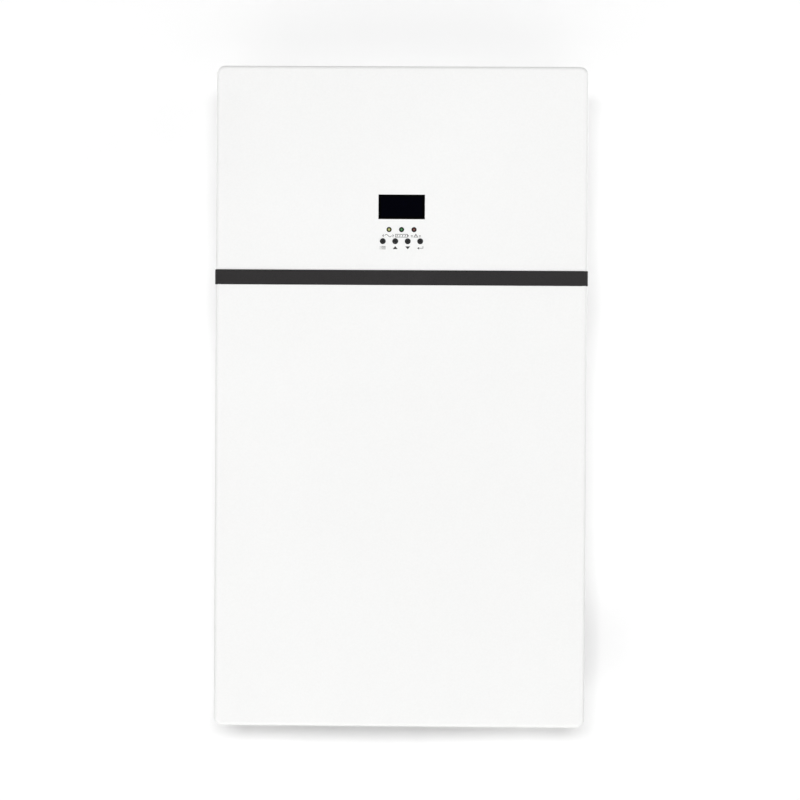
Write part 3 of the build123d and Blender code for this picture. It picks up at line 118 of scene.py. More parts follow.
# ------------------------------------------------------------------ material building blocks
class Finish:
    """A node material around one Principled shader, in object coordinates (metres)."""

    def __init__(self, name, roughness=0.5, metallic=0.0, specular=0.5):
        self.material = bpy.data.materials.new(name)
        self.material.use_nodes = True
        self.tree = self.material.node_tree
        self.tree.nodes.clear()
        self.output = self.tree.nodes.new("ShaderNodeOutputMaterial")
        self.shader = self.tree.nodes.new("ShaderNodeBsdfPrincipled")
        self.link(self.shader.outputs["BSDF"], self.output.inputs["Surface"])
        self.shader.inputs["Roughness"].default_value = roughness
        self.shader.inputs["Metallic"].default_value = metallic
        self.shader.inputs["Specular IOR Level"].default_value = specular
        self.place = self.tree.nodes.new("ShaderNodeTexCoord").outputs["Object"]

    def link(self, source, target):
        """Joins an output socket to an input socket."""
        self.tree.links.new(source, target)

    def stretched(self, scale):
        """Object coordinates scaled by three factors."""
        mapping = self.tree.nodes.new("ShaderNodeMapping")
        mapping.inputs["Scale"].default_value = scale
        self.link(self.place, mapping.inputs["Vector"])
        return mapping.outputs["Vector"]

    def noise(self, scale, detail=3.0, place=None):
        """Noise in 0..1, scale in cells per metre."""
        texture = self.tree.nodes.new("ShaderNodeTexNoise")
        texture.inputs["Scale"].default_value = scale
        texture.inputs["Detail"].default_value = detail
        self.link(place or self.place, texture.inputs["Vector"])
        return texture.outputs["Fac"]

    def cells(self, scale, feature="F1", output="Distance"):
        """Voronoi cells, scale in cells per metre."""
        texture = self.tree.nodes.new("ShaderNodeTexVoronoi")
        texture.feature = feature
        texture.inputs["Scale"].default_value = scale
        self.link(self.place, texture.inputs["Vector"])
        return texture.outputs[output]

    def ramp(self, source, stops):
        """Colour ramp from (position, colour) stops."""
        ramp = self.tree.nodes.new("ShaderNodeValToRGB")
        points = ramp.color_ramp.elements
        while len(points) < len(stops):
            points.new(0.5)
        for point, (position, colour) in zip(points, stops):
            point.position = position
            point.color = (*colour, 1.0)
        self.link(source, ramp.inputs["Fac"])
        return ramp.outputs["Color"]

    def span(self, source, low, high, from_low=0.3, from_high=0.7):
        """A varying number mapped between two values."""
        node = self.tree.nodes.new("ShaderNodeMapRange")
        node.inputs["From Min"].default_value = from_low
        node.inputs["From Max"].default_value = from_high
        node.inputs["To Min"].default_value = low
        node.inputs["To Max"].default_value = high
        self.link(source, node.inputs["Value"])
        return node.outputs["Result"]

    def mixed(self, factor, first, second):
        """Two colours mixed by a varying factor."""
        mix = self.tree.nodes.new("ShaderNodeMix")
        mix.data_type = "RGBA"
        self.link(factor, mix.inputs["Factor"])
        self.link(first, mix.inputs["A"])
        self.link(second, mix.inputs["B"])
        return mix.outputs["Result"]

    def sums(self, operation, first, second=None):
        """Math node on a socket, alone or with a second socket or number."""
        node = self.tree.nodes.new("ShaderNodeMath")
        node.operation = operation
        self.link(first, node.inputs[0])
        if isinstance(second, (int, float)):
            node.inputs[1].default_value = second
        elif second is not None:
            self.link(second, node.inputs[1])
        return node.outputs["Value"]

    def bands(self, source, colours):
        """Equal bands of plain colour along a number from 0 to 1."""
        node = self.tree.nodes.new("ShaderNodeValToRGB")
        node.color_ramp.interpolation = "CONSTANT"
        points = node.color_ramp.elements
        while len(points) < len(colours):
            points.new(0.5)
        for index, (point, colour) in enumerate(zip(points, colours)):
            point.position = index / len(colours)
            point.color = (*colour, 1.0)
        self.link(source, node.inputs["Fac"])
        return node.outputs["Color"]

    def colour(self, source):
        """Links the base colour."""
        self.link(source, self.shader.inputs["Base Color"])
        return self

    def rough(self, source):
        """Links the roughness."""
        self.link(source, self.shader.inputs["Roughness"])
        return self

    def bumped(self, *layers):
        """Stacks bumps; each layer is (height socket, depth in metres)."""
        normal = None
        for height, depth in layers:
            bump = self.tree.nodes.new("ShaderNodeBump")
            bump.inputs["Strength"].default_value = 1.0
            bump.inputs["Distance"].default_value = depth
            self.link(height, bump.inputs["Height"])
            if normal:
                self.link(normal, bump.inputs["Normal"])
            normal = bump.outputs["Normal"]
        self.link(normal, self.shader.inputs["Normal"])
        return self

    def set(self, **values):
        """Constant shader inputs, by socket name with underscores for spaces."""
        for name, value in values.items():
            self.shader.inputs[name.replace("_", " ")].default_value = value
        return self


def shade(colour, factor):
    """A colour made darker or lighter."""
    return tuple(min(1.0, channel * factor) for channel in colour)


def plain_coat(
    name, colour, spread, rough, grain, depth, broad,
    metallic=0.0, specular=0.5,
):
    """Coated or moulded surface: soft tone variation, fine grain, slightly uneven gloss.

    spread is the share by which the colour varies and rough the two ends of the roughness. grain
    and broad are the cells per metre of the fine and the soft noise, depth the grain's height.
    """
    finish = Finish(name, metallic=metallic, specular=specular)
    soft = finish.noise(broad, 4.0)
    fine = finish.noise(grain, 2.0)
    darker, darkest = shade(colour, 1 - spread), shade(colour, 1 - 2 * spread)
    lighter = shade(colour, 1 + spread)
    tone = finish.ramp(soft, [(0.3, darker), (0.7, lighter)])
    speckle = finish.ramp(fine, [(0.35, darkest), (0.65, lighter)])
    finish.colour(finish.mixed(finish.span(fine, 0.1, 0.35), tone, speckle))
    finish.rough(finish.span(finish.noise(broad * 9, 3.0), *rough))
    finish.bumped((fine, depth))
    return finish.material


# ------------------------------------------------------------------ materials
def powder_coat():
    """White powder coat: orange peel, very soft tone change, faint dust in the gloss."""
    finish = Finish("white_powder_coat")
    broad = finish.noise(2.2, 3.0)
    peel = finish.noise(420, 2.0)
    pores = finish.noise(1500, 1.0)
    tone = finish.ramp(broad, [(0.3, (0.80, 0.80, 0.795)), (0.7, (0.835, 0.836, 0.832))])
    speck = finish.ramp(peel, [(0.3, (0.785, 0.785, 0.78)), (0.7, (0.84, 0.84, 0.836))])
    finish.colour(finish.mixed(finish.span(pores, 0.1, 0.5), tone, speck))
    finish.rough(finish.span(finish.noise(30, 4.0), 0.40, 0.50))
    finish.bumped((peel, 0.00006), (pores, 0.00001))
    return finish.material


def charcoal_coat():
    """Matte charcoal coat of the accent strip, with a fine mottle."""
    finish = Finish("charcoal_accent", specular=0.35)
    mottle = finish.noise(900, 3.0)
    broad = finish.noise(6, 3.0)
    dark = finish.ramp(mottle, [(0.3, (0.0155, 0.0145, 0.0150)), (0.7, (0.0285, 0.0268, 0.0275))])
    light = finish.ramp(mottle, [(0.3, (0.0195, 0.0182, 0.0188)), (0.7, (0.0345, 0.0325, 0.0333))])
    finish.colour(finish.mixed(finish.span(broad, 0.0, 1.0), dark, light))
    finish.rough(finish.span(finish.noise(60, 3.0), 0.5, 0.64))
    finish.bumped((mottle, 0.00004))
    return finish.material


def zinc_steel(name, tone, spangle):
    """Zinc-plated sheet: spangle in colour and gloss, faint rolling lines.

    spangle is the number of flakes per metre.
    """
    finish = Finish(name, metallic=1.0)
    value = finish.sums("MULTIPLY", finish.cells(spangle, output="Color"), 1.0)
    dark_flake = (tone * 0.86, tone * 0.88, tone * 0.9)
    light_flake = (tone * 1.12, tone * 1.13, tone * 1.14)
    finish.colour(finish.ramp(value, [(0.0, dark_flake), (1.0, light_flake)]))
    lines = finish.noise(60, 4.0, finish.stretched((1.0, 12.0, 30.0)))
    finish.rough(finish.span(finish.sums("ADD", value, lines), 0.30, 0.52, 0.4, 1.6))
    finish.bumped((lines, 0.00002))
    return finish.material


def bright_steel():
    """Plated screws and wire: bright, with fine turning marks."""
    finish = Finish("screw_steel", metallic=1.0)
    marks = finish.noise(1800, 3.0)
    finish.colour(finish.ramp(marks, [(0.3, (0.55, 0.555, 0.56)), (0.7, (0.72, 0.72, 0.725))]))
    finish.rough(finish.span(marks, 0.22, 0.38))
    finish.bumped((marks, 0.00001))
    return finish.material


def extruded_aluminium(name, tone, along):
    """Mill-finish aluminium with drawing lines along one direction."""
    finish = Finish(name, metallic=1.0)
    lines = finish.noise(500, 4.0, finish.stretched(along))
    blotch = finish.noise(25, 3.0)
    light = finish.ramp(lines, [(0.3, (tone * 0.88,) * 3), (0.7, (tone * 1.08,) * 3)])
    dark = finish.ramp(lines, [(0.3, (tone * 0.78,) * 3), (0.7, (tone * 0.98,) * 3)])
    finish.colour(finish.mixed(finish.span(blotch, 0.0, 1.0), light, dark))
    finish.rough(finish.span(lines, 0.28, 0.45))
    finish.bumped((lines, 0.00003))
    return finish.material


def copper(name, colour):
    """Copper or brass with light tarnish in patches."""
    finish = Finish(name, metallic=1.0)
    patches = finish.noise(90, 5.0)
    stops = [(0.3, shade(colour, 0.72)), (0.55, colour), (0.75, shade(colour, 1.12))]
    finish.colour(finish.ramp(patches, stops))
    finish.rough(finish.span(patches, 0.25, 0.42))
    finish.bumped((finish.noise(1200, 2.0), 0.00001))
    return finish.material


def tinted_lens():
    """Glossy black acrylic in front of the display, with a faint haze."""
    finish = Finish("lens_black", specular=0.06)
    haze = finish.noise(40, 4.0)
    stops = [(0.3, (0.0003, 0.0003, 0.0004)), (0.7, (0.0006, 0.0006, 0.0009))]
    finish.colour(finish.ramp(haze, stops))
    finish.rough(finish.span(haze, 0.05, 0.12))
    finish.bumped((finish.noise(15, 1.0), 0.00001))
    return finish.material


def display_area():
    """Unlit display glass behind the lens: deep navy with the faintest dot grid."""
    finish = Finish("display_area", specular=0.06)
    rows = finish.noise(1500, 1.0, finish.stretched((1.0, 1.0, 4.0)))
    stops = [(0.3, (0.0003, 0.0003, 0.0016)), (0.7, (0.0005, 0.0006, 0.0026))]
    finish.colour(finish.ramp(rows, stops))
    finish.rough(finish.span(rows, 0.10, 0.16))
    return finish.material


TIP_TINTS = ((0.50, 0.52, 0.22), (0.10, 0.24, 0.11), (0.20, 0.085, 0.075))
# Rim colours are painted shade: the shadow around each lamp in its hole.
RIM_SHADE_TINTS = ((0.120, 0.120, 0.018), (0.004, 0.040, 0.006), (0.022, 0.003, 0.002))
TIP_R = 1.2 * MM
RIM_SHADE_R = 2.3 * MM


def lamp_tints():
    """Unlit diffused lamps in amber-olive, green and dark red, with a painted shadow darkening each
    towards its rim.
    """
    finish = Finish("lamp_tint", specular=0.3)
    split = finish.tree.nodes.new("ShaderNodeSeparateXYZ")
    finish.link(finish.place, split.inputs["Vector"])
    offset = finish.sums("ADD", split.outputs["X"], 1.5 * PITCH)
    index = finish.sums("DIVIDE", offset, 3 * PITCH)
    tips = finish.bands(index, TIP_TINTS)
    rim_shades = finish.bands(index, RIM_SHADE_TINTS)
    step = finish.sums("FRACT", finish.sums("DIVIDE", offset, PITCH))
    across = finish.sums("MULTIPLY", finish.sums("SUBTRACT", step, 0.5), PITCH)
    up = finish.sums("SUBTRACT", split.outputs["Z"], LAMP_Z)
    across_square = finish.sums("MULTIPLY", across, across)
    up_square = finish.sums("MULTIPLY", up, up)
    away = finish.sums("SQRT", finish.sums("ADD", across_square, up_square))
    grain = finish.sums("MULTIPLY", finish.noise(1400, 2.0), 0.4 * MM)
    # Mask of the painted rim shadow: the lamp's own tint out to TIP_R, full painted shade at the
    # rim radius.
    factor = finish.span(finish.sums("ADD", away, grain), 0.0, 1.0, TIP_R, RIM_SHADE_R)
    finish.colour(finish.mixed(factor, tips, rim_shades))
    finish.rough(finish.span(finish.noise(900, 2.0), 0.16, 0.3))
    return finish.material


def smoked_pane():
    """Smoked polycarbonate, clear enough to read the levers behind it."""
    finish = Finish("smoked_window")
    haze = finish.noise(35, 4.0)
    finish.colour(finish.ramp(haze, [(0.3, (0.40, 0.41, 0.43)), (0.7, (0.46, 0.47, 0.49))]))
    finish.rough(finish.span(haze, 0.03, 0.09))
    return finish.set(Transmission_Weight=1.0, IOR=1.2).material


def circuit_green():
    """Solder mask with darker gaps between copper areas."""
    finish = Finish("circuit_board")
    edges = finish.cells(180, "DISTANCE_TO_EDGE", "Distance")
    pads = finish.ramp(edges, [(0.02, (0.012, 0.06, 0.025)), (0.07, (0.02, 0.13, 0.055))])
    mask_stops = [(0.4, (0.016, 0.10, 0.04)), (0.6, (0.03, 0.17, 0.075))]
    fine = finish.ramp(finish.noise(900, 3.0), mask_stops)
    finish.colour(finish.mixed(finish.span(edges, 0.2, 0.7, 0.0, 0.2), pads, fine))
    finish.rough(finish.span(finish.noise(200, 2.0), 0.3, 0.45))
    finish.bumped((edges, 0.00004))
    return finish.material


def cell_film():
    """Blue film shrunk on the cells, with soft wrinkles."""
    finish = Finish("cell_wrap")
    wrinkle = finish.noise(70, 5.0, finish.stretched((1.0, 0.6, 2.2)))
    stops = [(0.3, (0.010, 0.07, 0.26)), (0.7, (0.018, 0.105, 0.34))]
    finish.colour(finish.ramp(wrinkle, stops))
    finish.rough(finish.span(wrinkle, 0.22, 0.36))
    finish.bumped((wrinkle, 0.00012))
    return finish.material


def choke_winding():
    """Enamelled copper turns, shown as fine parallel wires."""
    finish = Finish("choke_winding", metallic=0.8)
    wave = finish.tree.nodes.new("ShaderNodeTexWave")
    wave.inputs["Scale"].default_value = 260
    wave.inputs["Distortion"].default_value = 1.5
    finish.link(finish.place, wave.inputs["Vector"])
    turns = wave.outputs["Fac"]
    finish.colour(finish.ramp(turns, [(0.1, (0.16, 0.05, 0.018)), (0.8, (0.55, 0.22, 0.08))]))
    finish.rough(finish.span(turns, 0.25, 0.4, 0.0, 1.0))
    finish.bumped((turns, 0.0003))
    return finish.material


POWDER = powder_coat()
BLACK = plain_coat("black_moulded", (0.022, 0.022, 0.023), 0.12, (0.42, 0.55), 1300, 0.00004, 12)
GREY = plain_coat("grey_moulded", (0.36, 0.365, 0.37), 0.04, (0.38, 0.5), 1300, 0.00003, 12)
KEY_GREY = plain_coat(
    "key_rubber", (0.017, 0.017, 0.018),
    0.2, (0.5, 0.6), 1600, 0.00002, 60, specular=0.2,
)
RING_BLACK = plain_coat(
    "ring_black", (0.004, 0.004, 0.004),
    0.2, (0.5, 0.6), 1600, 0.00002, 60, specular=0.12,
)
RUBBER = plain_coat("rubber", (0.016, 0.016, 0.016), 0.15, (0.62, 0.78), 900, 0.00005, 20)
FOAM = plain_coat("foam", (0.03, 0.03, 0.031), 0.3, (0.85, 0.95), 500, 0.0004, 20)
FAN_BLACK = plain_coat("fan_plastic", (0.018, 0.018, 0.02), 0.12, (0.35, 0.48), 1100, 0.00003, 15)
CABLE_RED = plain_coat("cable_red", (0.42, 0.012, 0.012), 0.08, (0.35, 0.5), 600, 0.00004, 30)
CABLE_BLACK = plain_coat("cable_black", (0.014, 0.014, 0.015), 0.1, (0.4, 0.55), 600, 0.00004, 30)
SLEEVE = plain_coat("capacitor_sleeve", (0.02, 0.025, 0.05), 0.1, (0.25, 0.35), 500, 0.00003, 30)
CORE = plain_coat("core_steel", (0.10, 0.10, 0.105), 0.2, (0.5, 0.7), 700, 0.0001, 40, 0.6)
SCREW = bright_steel()
ZINC = zinc_steel("zinc_steel", 0.52, 140)
NODE_FINISHES = {
    "upper_cover": POWDER, "lower_cover": POWDER, "rear_panel": POWDER, "top_cap": POWDER,
    "bottom_cap": POWDER, "left_side_panel": POWDER, "right_side_panel": POWDER,
    "accent_strip": charcoal_coat(), "cabinet_screws": SCREW, "window_pin": SCREW,
    "dust_caps": RUBBER, "fan_guards": SCREW, "cover_gaskets": FOAM, "wall_bumpers": RUBBER,
    "cross_bar": ZINC,
    "wall_bracket": ZINC, "hanger_rail": ZINC, "partition_plate": ZINC, "battery_brackets": ZINC,
    "din_rail": ZINC, "cable_bay": zinc_steel("bay_steel", 0.6, 110),
    "display_lens": tinted_lens(), "lcd_module": GREY, "control_board": circuit_green(),
    "board_standoffs": copper("brass_plated", (0.62, 0.47, 0.20)), "indicator_lamps": lamp_tints(),
    "lamp_rings": RING_BLACK, "set_key": KEY_GREY, "up_key": KEY_GREY,
    "down_key": KEY_GREY, "enter_key": KEY_GREY,
    "heatsink": extruded_aluminium("heatsink_aluminium", 0.62, (0.05, 1.0, 1.0)),
    "bus_capacitors": SLEEVE, "power_chokes": choke_winding(), "transformer": CORE,
    "ribbon_cable": GREY,
    "fan_frames": FAN_BLACK, "upper_fan_rotor": FAN_BLACK, "lower_fan_rotor": FAN_BLACK,
    "handle_cups": BLACK, "battery_cells": cell_film(),
    "pack_frames": extruded_aluminium("frame_aluminium", 0.58, (1.0, 1.0, 0.05)),
    "busbars": copper("busbar_copper", (0.66, 0.33, 0.18)), "battery_positive_cable": CABLE_RED,
    "battery_negative_cable": CABLE_BLACK, "mains_leads": CABLE_BLACK, "breaker_tray": BLACK,
    "breakers": GREY, "battery_lever": BLACK, "ac_input_lever": BLACK, "ac_output_lever": BLACK,
    "breaker_window": smoked_pane(), "comms_board": BLACK, "power_switch": BLACK,
    "power_rocker": BLACK, "cable_glands": BLACK, "solar_connectors": BLACK,
}
NODE_FINISHES["power_board"] = NODE_FINISHES["control_board"]
NODE_FINISHES["bms_board"] = NODE_FINISHES["control_board"]
NODE_FINISHES["ground_stud"] = NODE_FINISHES["board_standoffs"]

for node_name, node_finish in NODE_FINISHES.items():
    for material_slot in NODES[node_name].material_slots:
        material_slot.material = node_finish


# ------------------------------------------------------------------ detail pieces
SMOOTH_ANGLE = math.radians(32)
MITRE_LIMIT = 0.35


def add_piece(name, shape, material, body=CABINET, stands_for=None):
    """Finishes a bmesh as an object that rides a body."""
    mesh = bpy.data.meshes.new(name)
    bmesh.ops.recalc_face_normals(shape, faces=shape.faces)
    shape.to_mesh(mesh)
    shape.free()
    mesh.shade_smooth()
    mesh.set_sharp_from_angle(angle=SMOOTH_ANGLE)
    mesh.materials.append(material)
    thing = bpy.data.objects.new(name, mesh)
    bpy.context.scene.collection.objects.link(thing)
    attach(thing, body)
    if stands_for:
        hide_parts(stands_for)


def in_metres(points):
    """Pairs of millimetres as pairs of metres."""
    return [(first * MM, second * MM) for first, second in points]


def turn(share):
    """Angle of a share of a full turn."""
    return 2 * math.pi * share


def block(shape, low, high, edge):
    """Box between two corners, with rounded edges."""
    made = bmesh.ops.create_cube(shape, size=1.0)["verts"]
    low, high = Vector(low), Vector(high)
    for vert in made:
        share = vert.co + Vector((0.5, 0.5, 0.5))
        vert.co = Vector([low[i] + (high[i] - low[i]) * share[i] for i in range(3)])
    edges = list({side for vert in made for side in vert.link_edges})
    bmesh.ops.bevel(shape, geom=edges, offset=edge, segments=3, profile=0.5, affect="EDGES")


def turned(shape, centre, axis, profile, steps=48):
    """Turned solid around an axis; the profile is a list of (distance along the axis, radius)."""
    axis = Vector(axis).normalized()
    side = axis.orthogonal().normalized()
    other = axis.cross(side)
    angles = [turn(step / steps) for step in range(steps)]
    spokes = [side * math.cos(angle) + other * math.sin(angle) for angle in angles]
    rings = []
    for along, radius in profile:
        spot = Vector(centre) + axis * along
        if radius == 0:
            rings.append([shape.verts.new(spot)])
        else:
            rings.append([shape.verts.new(spot + spoke * radius) for spoke in spokes])
    for first, second in zip(rings, rings[1:]):
        for step in range(steps):
            after = (step + 1) % steps
            if len(first) == 1:
                shape.faces.new((first[0], second[step], second[after]))
            elif len(second) == 1:
                shape.faces.new((first[step], first[after], second[0]))
            else:
                shape.faces.new((first[step], first[after], second[after], second[step]))


def wire_section(radius, steps=10):
    """Round section of a wire, as pairs around its centre."""
    angles = [turn(step / steps) for step in range(steps)]
    return [(radius * math.cos(angle), radius * math.sin(angle)) for angle in angles]


def hoop(shape, centre, axis, radius, wire, steps=64):
    """Ring of round wire; radius is the ring's and wire the wire's own."""
    section = wire_section(wire)
    profile = [(along, radius + out) for out, along in section + section[:1]]
    turned(shape, centre, axis, profile, steps)
    bmesh.ops.remove_doubles(shape, verts=shape.verts, dist=1e-7)


def swept(shape, path, normal, section, closed=False):
    """Section swept along a path with mitred corners.

    Section points are (along the normal, sideways).
    """
    path = [Vector(spot) for spot in path]
    normal = Vector(normal)
    count = len(path)
    rings = []
    for index, spot in enumerate(path):
        before = after = None
        if closed or index:
            before = (spot - path[index - 1]).normalized()
        if closed or index < count - 1:
            after = (path[(index + 1) % count] - spot).normalized()
        first, second = before or after, after or before
        sides = first.cross(normal).normalized(), second.cross(normal).normalized()
        mitre = (sides[0] + sides[1]).normalized()
        mitre /= max(MITRE_LIMIT, mitre.dot(sides[0]))
        rings.append([shape.verts.new(spot + normal * up + mitre * out) for up, out in section])
    pairs = list(zip(rings, rings[1:]))
    if closed:
        pairs.append((rings[-1], rings[0]))
    size = len(section)
    for first, second in pairs:
        for corner in range(size):
            following = (corner + 1) % size
            shape.faces.new((first[corner], first[following], second[following], second[corner]))
    if not closed:
        shape.faces.new(rings[0])
        shape.faces.new(list(reversed(rings[-1])))


# ------------------------------------------------------------------ marks on the upper cover
INK_OVER = 0.05 * MM
INK_LINE = 0.62 * MM
BAR_LINE = 0.8 * MM
LAMP_MARKS_DROP = 7.9 * MM
KEY_MARKS_DROP = 8.4 * MM
WAVE_STEPS = 20
INK = plain_coat("print_grey", (0.045, 0.045, 0.045), 0.12, (0.45, 0.55), 1800, 0.000005, 90)


def ink_line(shape, centre, points, closed=False, line=INK_LINE):
    """Printed line on the cover through points in millimetres around a centre."""
    path = [(centre[0] + x * MM, FACE_Y, centre[1] + z * MM) for x, z in points]
    half = line / 2
    section = [(-INK_OVER, -half), (INK_OVER, -half), (INK_OVER, half), (-INK_OVER, half)]
    swept(shape, path, (0, -1, 0), section, closed)


def ink_fill(shape, centre, points):
    """Printed solid mark on the cover, outlined by points in millimetres around a centre."""
    spots = [(centre[0] + x * MM, centre[1] + z * MM) for x, z in points]
    front = [shape.verts.new((x, FACE_Y - INK_OVER, z)) for x, z in spots]
    back = [shape.verts.new((x, FACE_Y + INK_OVER, z)) for x, z in spots]
    shape.faces.new(front)
    shape.faces.new(list(reversed(back)))
    for index in range(len(points)):
        following = (index + 1) % len(points)
        shape.faces.new((front[index], back[index], back[following], front[following]))


def supply_mark(marks, spot):
    """A wave between two terminals."""
    shares = [step / WAVE_STEPS for step in range(WAVE_STEPS + 1)]
    ink_line(marks, spot, [(-4.6 + 9.2 * share, 1.5 * math.sin(turn(share))) for share in shares])
    for side in (-1, 1):
        ink_line(marks, spot, [(side * 6.2, -1.8), (side * 6.2, 1.8)])
        ink_line(marks, spot, [(side * 6.2, 0.0), (side * 7.8, 0.0)])


def battery_mark(marks, spot):
    """A battery outline with its terminal and four bars."""
    ink_line(marks, spot, [(-8.2, -1.8), (7.2, -1.8), (7.2, 1.8), (-8.2, 1.8)], True)
    ink_fill(marks, spot, [(7.4, -0.9), (8.6, -0.9), (8.6, 0.9), (7.4, 0.9)])
    for bar in range(4):
        left = -6.9 + 3.5 * bar
        ink_line(marks, spot, [(left + 0.4, -1.0), (left + 1.2, 1.0)], line=BAR_LINE)


def warning_mark(marks, spot):
    """A triangle with a stroke inside and two short lines on each side."""
    ink_line(marks, spot, [(-2.4, -1.7), (2.4, -1.7), (0.0, 2.1)], True)
    ink_line(marks, spot, [(0.0, -0.6), (0.0, 0.9)])
    for side in (-1, 1):
        for line_z in (-1.4, 0.2):
            ink_line(marks, spot, [(side * 3.9, line_z), (side * 6.4, line_z)])


def key_marks(marks):
    """Menu, up, down and return, under their keys."""
    menu, up, down, enter = [(key.x, KEYS[0].z - KEY_MARKS_DROP) for key in KEYS]
    for line_z in (-1.6, 0.0, 1.6):
        ink_line(marks, menu, [(-3.8, line_z), (-2.9, line_z)])
        ink_line(marks, menu, [(-1.9, line_z), (3.8, line_z)])
    ink_fill(marks, up, [(-3.2, -1.8), (3.2, -1.8), (0.0, 2.0)])
    ink_fill(marks, down, [(-3.2, 1.8), (0.0, -2.0), (3.2, 1.8)])
    ink_line(marks, enter, [(3.6, 2.0), (3.6, -0.5), (-1.8, -0.5)])
    ink_fill(marks, enter, [(-3.9, -0.5), (-1.4, -2.1), (-1.4, 1.1)])


def add_marks():
    """Pictograms in place of words: supply wave, battery and warning, and the marks of the keys."""
    marks = bmesh.new()
    lamp_row = LAMP_Z - LAMP_MARKS_DROP
    supply_mark(marks, (LAMP_XS[0] - 1.2 * MM, lamp_row))
    battery_mark(marks, (LAMP_XS[1] + 0.5 * MM, lamp_row))
    warning_mark(marks, (LAMP_XS[2] + 2.4 * MM, lamp_row))
    key_marks(marks)
    add_piece("printed_marks", marks, INK)


add_marks()


# ------------------------------------------------------------------ display, lamps and keys
DISPLAY_HALF_WIDTH = 26.6 * MM
DISPLAY_HALF_HEIGHT = 12.6 * MM
KEY_TOP_PROFILE = [(0.15, 0), (0.12, 0.9), (0.02, 1.7), (-0.06, 2.2), (-0.02, 2.5), (0.3, 2.6)]


def add_display():
    """Visible area of the display, a hair in front of the black lens."""
    low, high = (Vector(corner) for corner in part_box("display_lens"))
    centre = (low + high) / 2
    half = Vector((DISPLAY_HALF_WIDTH, 0.0, DISPLAY_HALF_HEIGHT))
    area_low, area_high = centre - half, centre + half
    area_low.y = low.y - 0.03 * MM
    area_high.y = low.y + 0.1 * MM
    area = bmesh.new()
    block(area, area_low, area_high, 0.012 * MM)
    add_piece("display_area", area, display_area())


def add_key_tops():
    """Dished, slightly worn tops on the four keys."""
    top = plain_coat(
        "key_top", (0.040, 0.040, 0.042), 0.25, (0.4, 0.5), 1600, 0.00002, 60,
        specular=0.25,
    )
    for node, key in zip(KEY_NODES, KEYS):
        front_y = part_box(node)[0][1]
        shape = bmesh.new()
        turned(shape, (key.x, front_y, key.z), (0, 1, 0), in_metres(KEY_TOP_PROFILE), 36)
        add_piece(f"{node}_top", shape, top, body=node)


add_display()
add_key_tops()


# ------------------------------------------------------------------ fans
FAN_ROTORS = ("upper_fan_rotor", "lower_fan_rotor")
GUARD_RINGS = (40, 32, 24, 16, 8)
GUARD_WIRE_R = 0.75 * MM
GUARD_SCREW_INSET = 4.5 * MM
SPOKE_SHARE = 0.93
EYELET_R = 3.6 * MM
GUARD_SCREW_PROFILE = [
    (1.0, 0), (1.0, 1.0), (0.3, 1.2), (2.6, 2.2), (1.6, 2.9), (0.2, 3.1), (-1.2, 3.1), (-1.2, 0),
]
STICKER_PROFILE = [(-0.1, 0), (-0.1, 11.6), (0.2, 11.9), (0.2, 0)]


def add_fan_guards():
    """Round-wire guards in place of the flat ones: rings, crossed spokes, eyelets and screws."""
    low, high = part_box("fan_guards")
    ring_x = (low[0] + high[0]) / 2
    spoke_x = ring_x + 0.9 * MM
    reach = (high[1] - low[1]) / 2 - GUARD_SCREW_INSET
    spoke_reach = reach * SPOKE_SHARE
    shape = bmesh.new()
    screws = bmesh.new()
    for rotor in FAN_ROTORS:
        fan = middle(rotor)
        for radius in GUARD_RINGS:
            ring_centre = (ring_x - 0.2 * MM, fan.y, fan.z)
            hoop(shape, ring_centre, (1, 0, 0), radius * MM, GUARD_WIRE_R)
        for way in (-1, 1):
            spoke = [
                (spoke_x, fan.y + end * spoke_reach, fan.z + way * end * spoke_reach)
                for end in (-1, 1)
            ]
            swept(shape, spoke, (1, 0, 0), wire_section(GUARD_WIRE_R))
            for end in (-1, 1):
                corner = (ring_x, fan.y + end * reach, fan.z + way * end * reach)
                hoop(shape, corner, (1, 0, 0), EYELET_R, GUARD_WIRE_R, 32)
                turned(screws, corner, (-1, 0, 0), in_metres(GUARD_SCREW_PROFILE), 28)
    add_piece("fan_guard_wires", shape, SCREW, stands_for="fan_guards")
    add_piece("fan_guard_screws", screws, SCREW)


def add_fan_hubs():
    """Foil stickers with a raised ring on the hubs."""
    foil = extruded_aluminium("hub_foil", 0.66, (1.0, 1.0, 1.0))
    for rotor in FAN_ROTORS:
        fan = middle(rotor)
        hub = (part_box(rotor)[0][0], fan.y, fan.z)
        sticker = bmesh.new()
        turned(sticker, hub, (1, 0, 0), in_metres(STICKER_PROFILE))
        add_piece(f"{rotor}_sticker", sticker, foil, body=rotor)
        rim = bmesh.new()
        hoop(rim, hub, (1, 0, 0), 14.2 * MM, 0.5 * MM)
        add_piece(f"{rotor}_rim", rim, FAN_BLACK, body=rotor)


add_fan_guards()
add_fan_hubs()


# ------------------------------------------------------------------ carrying cups
CUP_LIP = 7.0 * MM
CUP_WALL = 2.5 * MM
GRIP_COUNT = 9
GRIP_PITCH = 10 * MM
GRIP_HALF_WIDTH = 2.2 * MM
GRIP_INSETS = (5 * MM, 24 * MM)


def add_grips():
    """Rubber ribs under the upper lip of each cup."""
    ribs = bmesh.new()
    low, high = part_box("handle_cups")
    roof = high[2] - CUP_LIP - CUP_WALL
    centre_y = (low[1] + high[1]) / 2
    for side in (-1, 1):
        xs = sorted(side * (high[0] - inset) for inset in GRIP_INSETS)
        for rib in range(GRIP_COUNT):
            rib_y = centre_y + (rib - GRIP_COUNT // 2) * GRIP_PITCH
            rib_low = (xs[0], rib_y - GRIP_HALF_WIDTH, roof - 1.4 * MM)
            rib_high = (xs[1], rib_y + GRIP_HALF_WIDTH, roof + 0.6 * MM)
            block(ribs, rib_low, rib_high, 0.6 * MM)
    add_piece("cup_grips", ribs, RUBBER)


add_grips()


